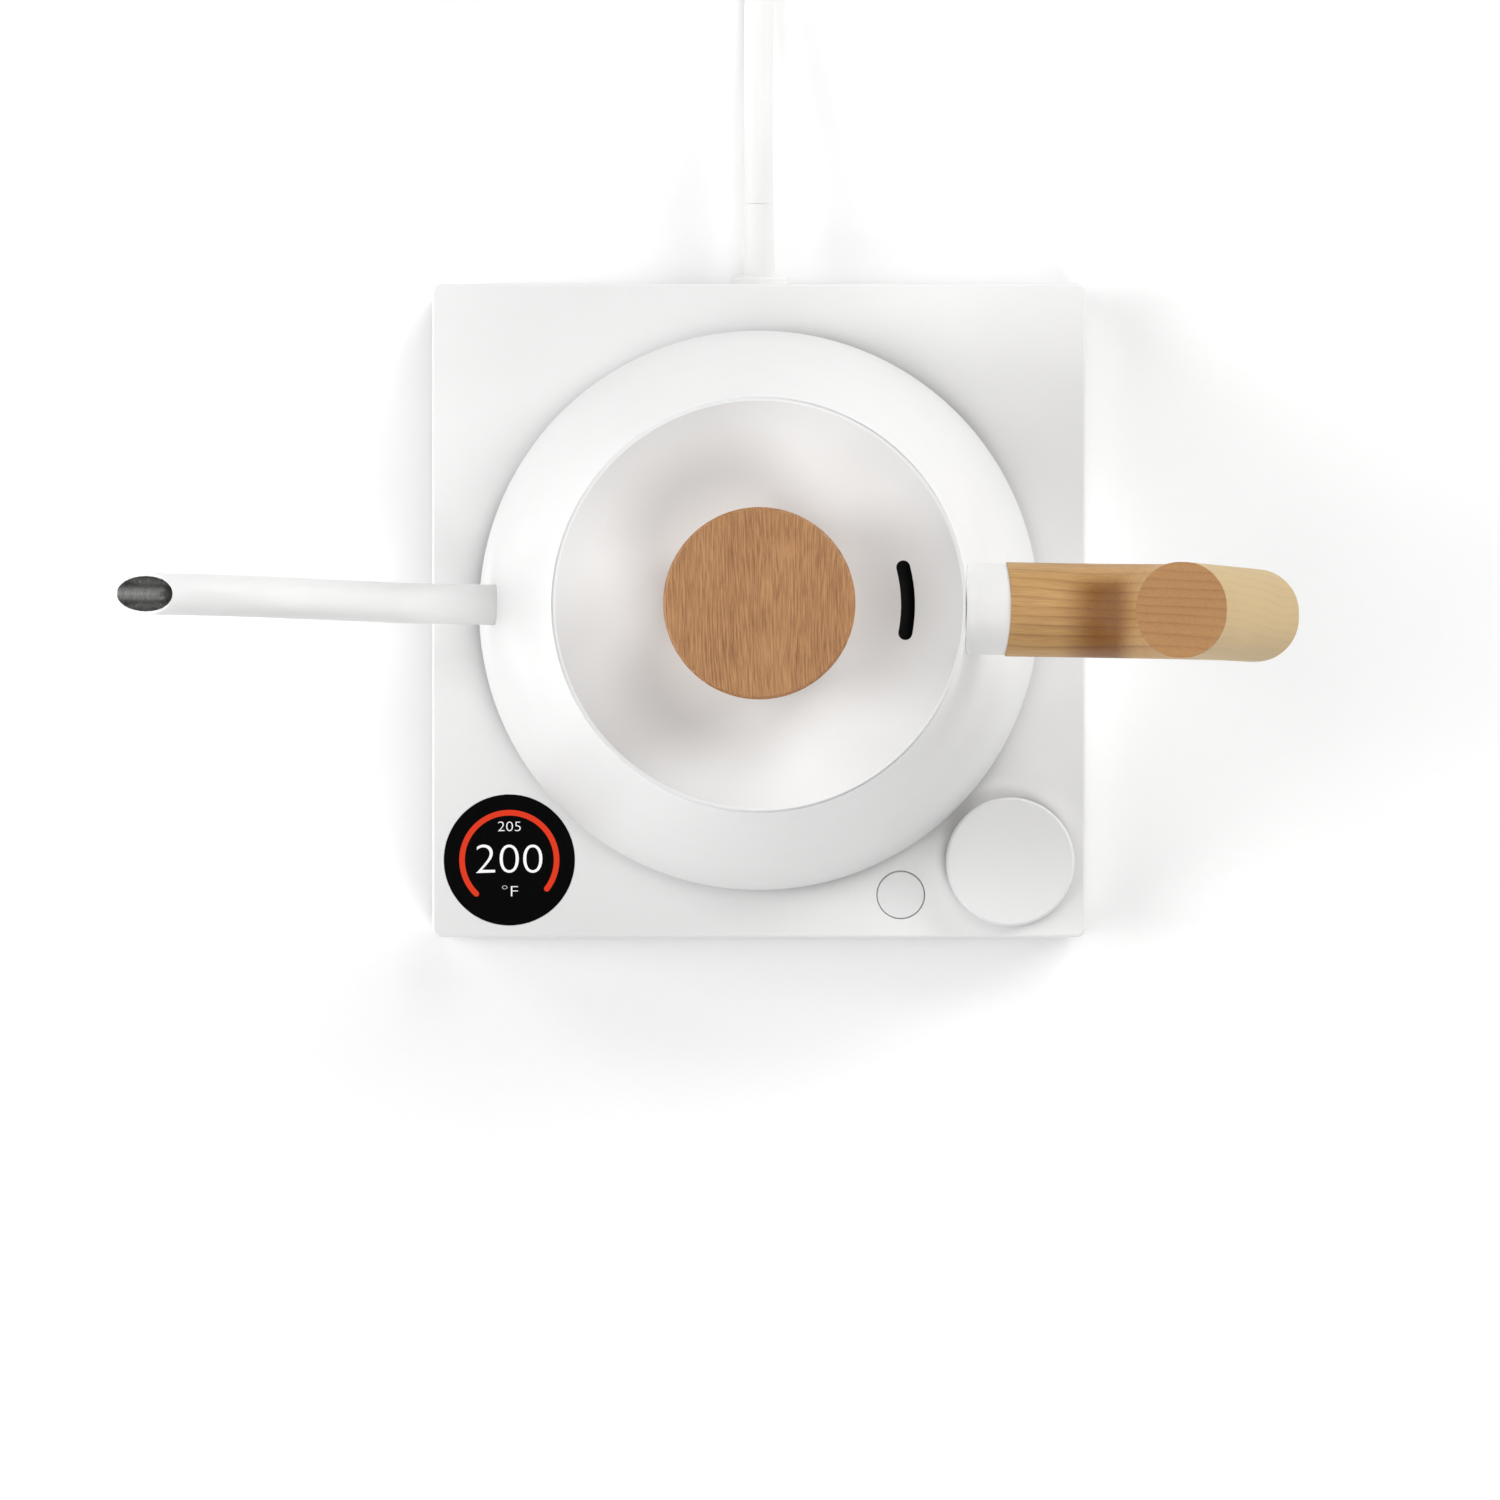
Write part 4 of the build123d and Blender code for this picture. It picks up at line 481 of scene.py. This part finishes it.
# ---------------------------------------------------------------- spout
# The gooseneck is a drawn steel tube of even bore, welded into the body low down and cut obliquely at
# the mouth. It is powder-coated outside and bare inside.
kettle_turn = Matrix.Rotation(radians(-0.95), 4, "Z")
spout_radius = 0.0052
spout_wall = 0.0008
spout_corners = [(-0.0662, 0.068), (-0.0900, 0.068), (-0.1330, 0.1755), (-0.1630, 0.1749)]
spout_bends = [0.022, 0.024]
mouth_cut_at = (-0.1600, 0.1697)
mouth_cut_normal = (-0.0104, 0.0145)


def side_point(place):
    """A point of the kettle's side view, out along X and up."""
    return Vector((place[0], 0, place[1]))


def bent_tube(name, corners, bends, radius):
    """A tube's outside: straight runs joined by round bends, as a mesh."""
    curve = bpy.data.curves.new(name, "CURVE")
    curve.dimensions = "3D"
    curve.bevel_depth = radius
    curve.bevel_resolution = 14
    curve.resolution_u = 24
    stops = [(side_point(corners[0]), Vector())]
    for before, corner, after, bend in zip(corners, corners[1:], corners[2:], bends):
        arriving = (side_point(corner) - side_point(before)).normalized()
        leaving = (side_point(after) - side_point(corner)).normalized()
        turn = arriving.angle(leaving)
        run = bend * tan(turn / 2)
        handle = bend * tan(turn / 4) * 4 / 3
        stops.append((side_point(corner) - run * arriving, handle * arriving))
        stops.append((side_point(corner) + run * leaving, handle * leaving))
    stops.append((side_point(corners[-1]), Vector()))
    spline = curve.splines.new("BEZIER")
    spline.bezier_points.add(len(stops) - 1)
    for index, (stop, (place, handle)) in enumerate(zip(spline.bezier_points, stops)):
        stop.co = place
        neighbour_before = stops[max(index - 1, 0)][0]
        neighbour_after = stops[min(index + 1, len(stops) - 1)][0]
        arc_follows = index % 2 == 1 and index < len(stops) - 1
        arc_before = index % 2 == 0 and index > 0
        stop.handle_right = place + handle if arc_follows else place.lerp(neighbour_after, 1 / 3)
        stop.handle_left = place - handle if arc_before else place.lerp(neighbour_before, 1 / 3)
    source = bpy.data.objects.new(name + "_line", curve)
    mesh = bpy.data.meshes.new_from_object(source)
    bpy.data.objects.remove(source)
    return mesh


spout_outside = bent_tube("spout", spout_corners, spout_bends, spout_radius)
spout_shape = bmesh.new()
spout_shape.from_mesh(spout_outside)
bpy.data.meshes.remove(spout_outside)
bmesh.ops.remove_doubles(spout_shape, verts=spout_shape.verts, dist=1e-6)
bmesh.ops.bisect_plane(spout_shape, geom=spout_shape.verts[:] + spout_shape.edges[:] + spout_shape.faces[:],
                       plane_co=side_point(mouth_cut_at), plane_no=side_point(mouth_cut_normal),
                       clear_outer=True)
bmesh.ops.transform(spout_shape, matrix=kettle_turn, verts=spout_shape.verts)
spout_steel = metal_finish("spout_steel", (0.55, 0.55, 0.54), (0.45, 0.45, 0.44), 1200.0, 0.28, 0.15, 0.00001)
spout = new_piece("spout", finished_mesh("spout", spout_shape, closed=False), "kettle", "white_powder_coat",
                  powder_coat, spout_steel)
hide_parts("spout_tube")
spout_thick = spout.modifiers.new("wall", "SOLIDIFY")
spout_thick.thickness = spout_wall
spout_thick.offset = -1.0
spout_thick.use_even_offset = True
spout_thick.material_offset = 1
spout_thick.material_offset_rim = 0
spout_lip = spout.modifiers.new("rounded_lip", "BEVEL")
spout_lip.width = 0.00028
spout_lip.segments = 3
spout_lip.limit_method = "ANGLE"
spout_lip.angle_limit = radians(35)

# ---------------------------------------------------------------- handle bracket
# The bracket is a round block welded to the body under the rim and coated with it; its tongue
# enters the wood.
dress(powder_coat, "handle_bracket")


# ---------------------------------------------------------------- wooden handle
# Arm and grip are cut and sanded from one piece of maple and oiled. Growth rings stand upright in it,
# so that they run along the arm as dark lines two to three millimetres apart.
def grained_wood():
    """Oiled wood: growth rings across Y, fibres and pores along X, and a broad change of tone."""
    tree, given, result = effect_group(
        "grained_wood",
        [("Vector", "Vector"), ("Light", "Color"), ("Dark", "Color"), ("Rings", "Float"),
         ("Contrast", "Float"), ("Streaks", "Float"), ("Gloss", "Float")],
        [("Colour", "Color"), ("Roughness", "Float"), ("Height", "Float")],
    )
    place = given.outputs["Vector"]
    slow = shader_node(tree, "VectorMath", {0: place, 1: (10.0, 34.0, 10.0)}, operation="MULTIPLY")
    wander = shader_node(tree, "TexNoise", {"Vector": slow.outputs[0], "Scale": 1.0, "Detail": 2.0})
    shifted = shader_node(tree, "VectorMath", {0: wander.outputs["Color"], 1: (0.0, 0.010, 0.0), 2: place},
                          operation="MULTIPLY_ADD")
    rings = shader_node(tree, "TexWave", {"Vector": shifted.outputs[0], "Scale": given.outputs["Rings"],
                                          "Distortion": 0.5, "Detail": 1.0, "Detail Scale": 0.3},
                        wave_type="BANDS", bands_direction="Y", wave_profile="SAW")
    late_wood = shader_node(tree, "ValToRGB", {0: rings.outputs["Fac"]})
    late_wood.color_ramp.elements[0].color = (0.10, 0.10, 0.10, 1)
    late_wood.color_ramp.elements[1].color = (0.15, 0.15, 0.15, 1)
    for position, value in ((0.12, 0.0), (0.50, 0.10), (0.74, 0.38), (0.86, 1.0), (0.94, 0.45)):
        late_wood.color_ramp.elements.new(position).color = (value, value, value, 1)
    streak_place = shader_node(tree, "VectorMath", {0: shifted.outputs[0], 1: (130.0, 2500.0, 2500.0)},
                               operation="MULTIPLY")
    fibres = shader_node(tree, "TexNoise", {"Vector": streak_place.outputs[0], "Scale": 1.0, "Detail": 3.0,
                                            "Roughness": 0.62})
    streaks = shader_node(tree, "MapRange", {"Value": fibres.outputs["Fac"], "From Min": 0.34,
                                             "From Max": 0.66, "To Min": -0.5, "To Max": 0.5})
    broad = shader_node(tree, "TexNoise", {"Vector": slow.outputs[0], "Scale": 2.6, "Detail": 3.0})
    fade = shader_node(tree, "MapRange", {"Value": broad.outputs["Fac"], "From Min": 0.35, "From Max": 0.62,
                                          "To Min": 0.45, "To Max": 1.0})
    ring_strength = shader_node(tree, "Math", {0: fade.outputs[0], 1: given.outputs["Contrast"]},
                                operation="MULTIPLY")
    broad_part = shader_node(tree, "Math", {0: broad.outputs["Fac"], 1: 0.50, 2: 0.07},
                             operation="MULTIPLY_ADD")
    ring_part = shader_node(tree, "Math", {0: late_wood.outputs["Color"], 1: ring_strength.outputs[0],
                                           2: broad_part.outputs[0]}, operation="MULTIPLY_ADD")
    tone = shader_node(tree, "Math", {0: streaks.outputs[0], 1: given.outputs["Streaks"],
                                      2: ring_part.outputs[0]}, operation="MULTIPLY_ADD", use_clamp=True)
    colour = shader_node(tree, "Mix", {0: tone.outputs[0], 6: given.outputs["Light"],
                                       7: given.outputs["Dark"]}, data_type="RGBA")
    rough = shader_node(tree, "Math", {0: fibres.outputs["Fac"], 1: 0.18, 2: given.outputs["Gloss"]},
                        operation="MULTIPLY_ADD")
    tree.links.new(colour.outputs[2], result.inputs["Colour"])
    tree.links.new(rough.outputs[0], result.inputs["Roughness"])
    tree.links.new(fibres.outputs["Fac"], result.inputs["Height"])
    return tree


wood_tree = grained_wood()


def wood_finish(name, turned, tones, rings, contrast, streaks, gloss):
    """Oiled wood with its fibres turned by an angle about Z; tones starts with its light and dark."""
    made, tree, shader = new_finish(name, specular=0.4)
    place = shader_node(tree, "TexCoord")
    turn = shader_node(tree, "Mapping", {"Vector": place.outputs["Object"],
                                         "Rotation": (0, 0, radians(turned))})
    light, dark = [(*tone, 1) for tone in tones]
    wood = shader_node(tree, "Group", {"Vector": turn.outputs[0], "Light": light, "Dark": dark,
                                       "Rings": rings, "Contrast": contrast, "Streaks": streaks,
                                       "Gloss": gloss},
                       node_tree=wood_tree)
    join_surface(tree, shader, wood.outputs["Colour"], wood.outputs["Roughness"], wood.outputs["Height"],
                 0.00004)
    return made, tree, place, wood


handle_maple, maple_tree, maple_place, maple = wood_finish(
    "handle_maple", 2.0, [(0.60, 0.365, 0.140), (0.21, 0.085, 0.022)], 130.0, 0.42, 0.22, 0.42)
maple_parts = shader_node(maple_tree, "SeparateXYZ", {0: maple_place.outputs["Object"]})


def step_mask(value, start, end):
    """0 before start and 1 past end, with a soft edge between them."""
    return shader_node(maple_tree, "MapRange", {"Value": value, "From Min": start, "From Max": end},
                       interpolation_type="SMOOTHSTEP").outputs[0]


def both_masks(first, second):
    """1 where both masks are."""
    return shader_node(maple_tree, "Math", {0: first, 1: second}, operation="MULTIPLY").outputs[0]


# Painted shade darkens the wood in the hollow where the arm turns up into the grip, and painted light makes
# it palest down the grip.
hollow_rise = (0.0730, 0.0850)      # from the kettle's axis: where the dark tone of the hollow starts
hollow_fall = (0.0945, 0.0885)
hollow_side = (0.0090, 0.0030)      # across the arm: the far side stays pale
grip_rise = (0.0960, 0.1120)
end_skin = (0.0010, 0.0002)         # how deep under the cut end its own tone starts
end_tilt = radians(27.0)     # the grip's cut end leans this much towards the lid
end_centre = Vector((0.1041, 0.0, 0.1960))
end_facing = Vector((-sin(end_tilt), 0.0, cos(end_tilt)))
end_height = shader_node(maple_tree, "VectorMath", {0: maple_place.outputs["Object"], 1: end_facing},
                         operation="DOT_PRODUCT").outputs["Value"]
end_level = end_centre.dot(end_facing)
on_end = step_mask(end_height, end_level - end_skin[0], end_level - end_skin[1])
off_end = step_mask(end_height, end_level - end_skin[1], end_level - end_skin[0])
hollow_width = both_masks(step_mask(maple_parts.outputs[0], *hollow_rise),
                          step_mask(maple_parts.outputs[0], *hollow_fall))
hollow_shade_mask = both_masks(hollow_width, step_mask(maple_parts.outputs[1], *hollow_side))
grip_light_mask = both_masks(off_end, step_mask(maple_parts.outputs[0], *grip_rise))
# The hollow's tones are painted shade and the grip's tones are painted light; the cut end keeps its own tone.
for socket, hollow_shade_tone, grip_light_tone, end_tone in (
    ("Light", (0.27, 0.112, 0.020, 1), (0.54, 0.38, 0.165, 1), (0.440, 0.225, 0.072, 1)),
    ("Dark", (0.130, 0.046, 0.009, 1), (0.44, 0.300, 0.120, 1), (0.240, 0.098, 0.024, 1)),
):
    colour = tuple(maple.inputs[socket].default_value)
    for mask, tone in ((hollow_shade_mask, hollow_shade_tone), (grip_light_mask, grip_light_tone), (on_end, end_tone)):
        mixed = shader_node(maple_tree, "Mix", {0: mask, 6: colour, 7: tone}, data_type="RGBA")
        colour = mixed.outputs[2]
    maple_tree.links.new(colour, maple.inputs[socket])
dress(handle_maple, "wooden_handle")

# ---------------------------------------------------------------- lid and its steam vent
# The lid is pressed from steel and coated like the body, with a dished top and one curved vent. The
# cup under it is bare steel outside and dark inside, and carries the silicone gasket.
# The lid's coat is a slightly darker, cooler copy of the body's white: painted shade, which also takes out
# the warm light the knob throws on the lid.
lid_coat_shaded = skin_finish("lid_coat_shaded", (0.750, 0.756, 0.758), (0.730, 0.736, 0.740), 1600.0, 0.50, 0.10, 0.00003)
dress(lid_coat_shaded, "lid_top")
insert_low, insert_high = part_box("lid_insert")
insert_radius = (insert_high.x - insert_low.x) / 2
cup_skin = 0.0004            # how deep into the cup's wall the bare outside counts
cup_steel, cup_tree, cup_shader = new_finish("cup_steel", metallic=0.0)
cup_bare = shader_node(cup_tree, "Group", bare_steel, node_tree=metal_tree)
cup_place = shader_node(cup_tree, "TexCoord")
cup_parts = shader_node(cup_tree, "SeparateXYZ", {0: cup_place.outputs["Object"]})
cup_flat = shader_node(cup_tree, "CombineXYZ", {0: cup_parts.outputs[0], 1: cup_parts.outputs[1], 2: 0.0})
cup_reach = shader_node(cup_tree, "VectorMath", {0: cup_flat.outputs[0]}, operation="LENGTH")
cup_side = shader_node(cup_tree, "Math", {0: cup_reach.outputs["Value"], 1: insert_radius - cup_skin},
                       operation="GREATER_THAN")
cup_under = shader_node(cup_tree, "Math", {0: cup_parts.outputs[2], 1: insert_low.z + cup_skin},
                        operation="LESS_THAN")
cup_outside = shader_node(cup_tree, "Math", {0: cup_side.outputs[0], 1: cup_under.outputs[0]},
                          operation="MAXIMUM")
cup_colour = shader_node(cup_tree, "Mix", {0: cup_outside.outputs[0], 6: (0.004, 0.004, 0.004, 1),
                                           7: cup_bare.outputs["Colour"]}, data_type="RGBA")
cup_tree.links.new(cup_outside.outputs[0], cup_shader.inputs["Metallic"])
join_surface(cup_tree, cup_shader, cup_colour.outputs[2], cup_bare.outputs["Roughness"],
             cup_bare.outputs["Height"], 0.00001)
dress(cup_steel, "lid_insert")

# ---------------------------------------------------------------- lid knob
# The knob is turned from a darker, straight-grained wood and oiled, with its top across the trunk's
# length so that short fine streaks run from front to back.
knob_wood = wood_finish("knob_wood", 90.0, [(0.44, 0.225, 0.094), (0.185, 0.072, 0.022)], 60.0, 0.10, 0.85,
                        0.44)
dress(knob_wood[0], "lid_knob")

# ---------------------------------------------------------------- floor and light
# The table is white and matt. The light is that of a small studio: a broad bank of soft boxes at the
# left, another at the back and right, and weaker ones in front.
floor_half = 30.0
floor_gap = 0.0001           # keeps the floor clear of the feet
floor_shape = bmesh.new()
bmesh.ops.create_grid(floor_shape, x_segments=1, y_segments=1, size=floor_half)
floor_mesh = bpy.data.meshes.new("floor")
floor_shape.to_mesh(floor_mesh)
floor_shape.free()
floor = bpy.data.objects.new("floor", floor_mesh)
bpy.context.scene.collection.objects.link(floor)
floor.location.z = -floor_gap
floor_paper, floor_tree, floor_shader = new_finish("floor_paper", specular=0.0)
floor_place = shader_node(floor_tree, "TexCoord")
floor_tone = shader_node(floor_tree, "TexNoise", {"Vector": floor_place.outputs["Object"], "Scale": 300.0})
floor_colour = shader_node(floor_tree, "Mix", {0: floor_tone.outputs["Fac"], 6: (0.94, 0.94, 0.94, 1),
                                               7: (0.93, 0.93, 0.93, 1)}, data_type="RGBA")
floor_tree.links.new(floor_colour.outputs[2], floor_shader.inputs["Base Color"])
floor_shader.inputs["Roughness"].default_value = 0.9
floor_mesh.materials.append(floor_paper)


lamp_size = 0.9
lamp_distance = 2.0
lamp_aim = Vector((0, 0, 0.1))


def soft_box(name, azimuth, elevation, energy):
    """A round soft box around the kettle, turned towards it."""
    lamp = bpy.data.lights.new(name, "AREA")
    lamp.shape = "DISK"
    lamp.size = lamp_size
    lamp.energy = energy
    made = bpy.data.objects.new(name, lamp)
    bpy.context.scene.collection.objects.link(made)
    a, e = radians(azimuth), radians(elevation)
    away = Vector((cos(a) * cos(e), sin(a) * cos(e), sin(e)))
    made.location = lamp_aim + lamp_distance * away
    made.rotation_mode = "QUATERNION"
    made.rotation_quaternion = (-away).to_track_quat("-Z", "Y")
    made.visible_camera = False


soft_box("left_rear_low", 150, 20, 8.8)
soft_box("left_low", 180, 20, 15.1)
soft_box("left_front_low", 210, 20, 8.8)
soft_box("left_high", 180, 60, 8.8)
soft_box("right_low", 30, 20, 15.6)
soft_box("back_low", 60, 20, 10.1)
soft_box("back_high", 60, 60, 10.1)
soft_box("front_low", 300, 20, 8.6)
soft_box("front_high", 300, 60, 11.1)
world = bpy.data.worlds.new("studio")
world.use_nodes = True
world.node_tree.nodes["Background"].inputs["Color"].default_value = (1.0, 1.0, 1.0, 1)
world.node_tree.nodes["Background"].inputs["Strength"].default_value = 0.03
bpy.context.scene.world = world
bpy.context.scene.view_settings.view_transform = "Standard"
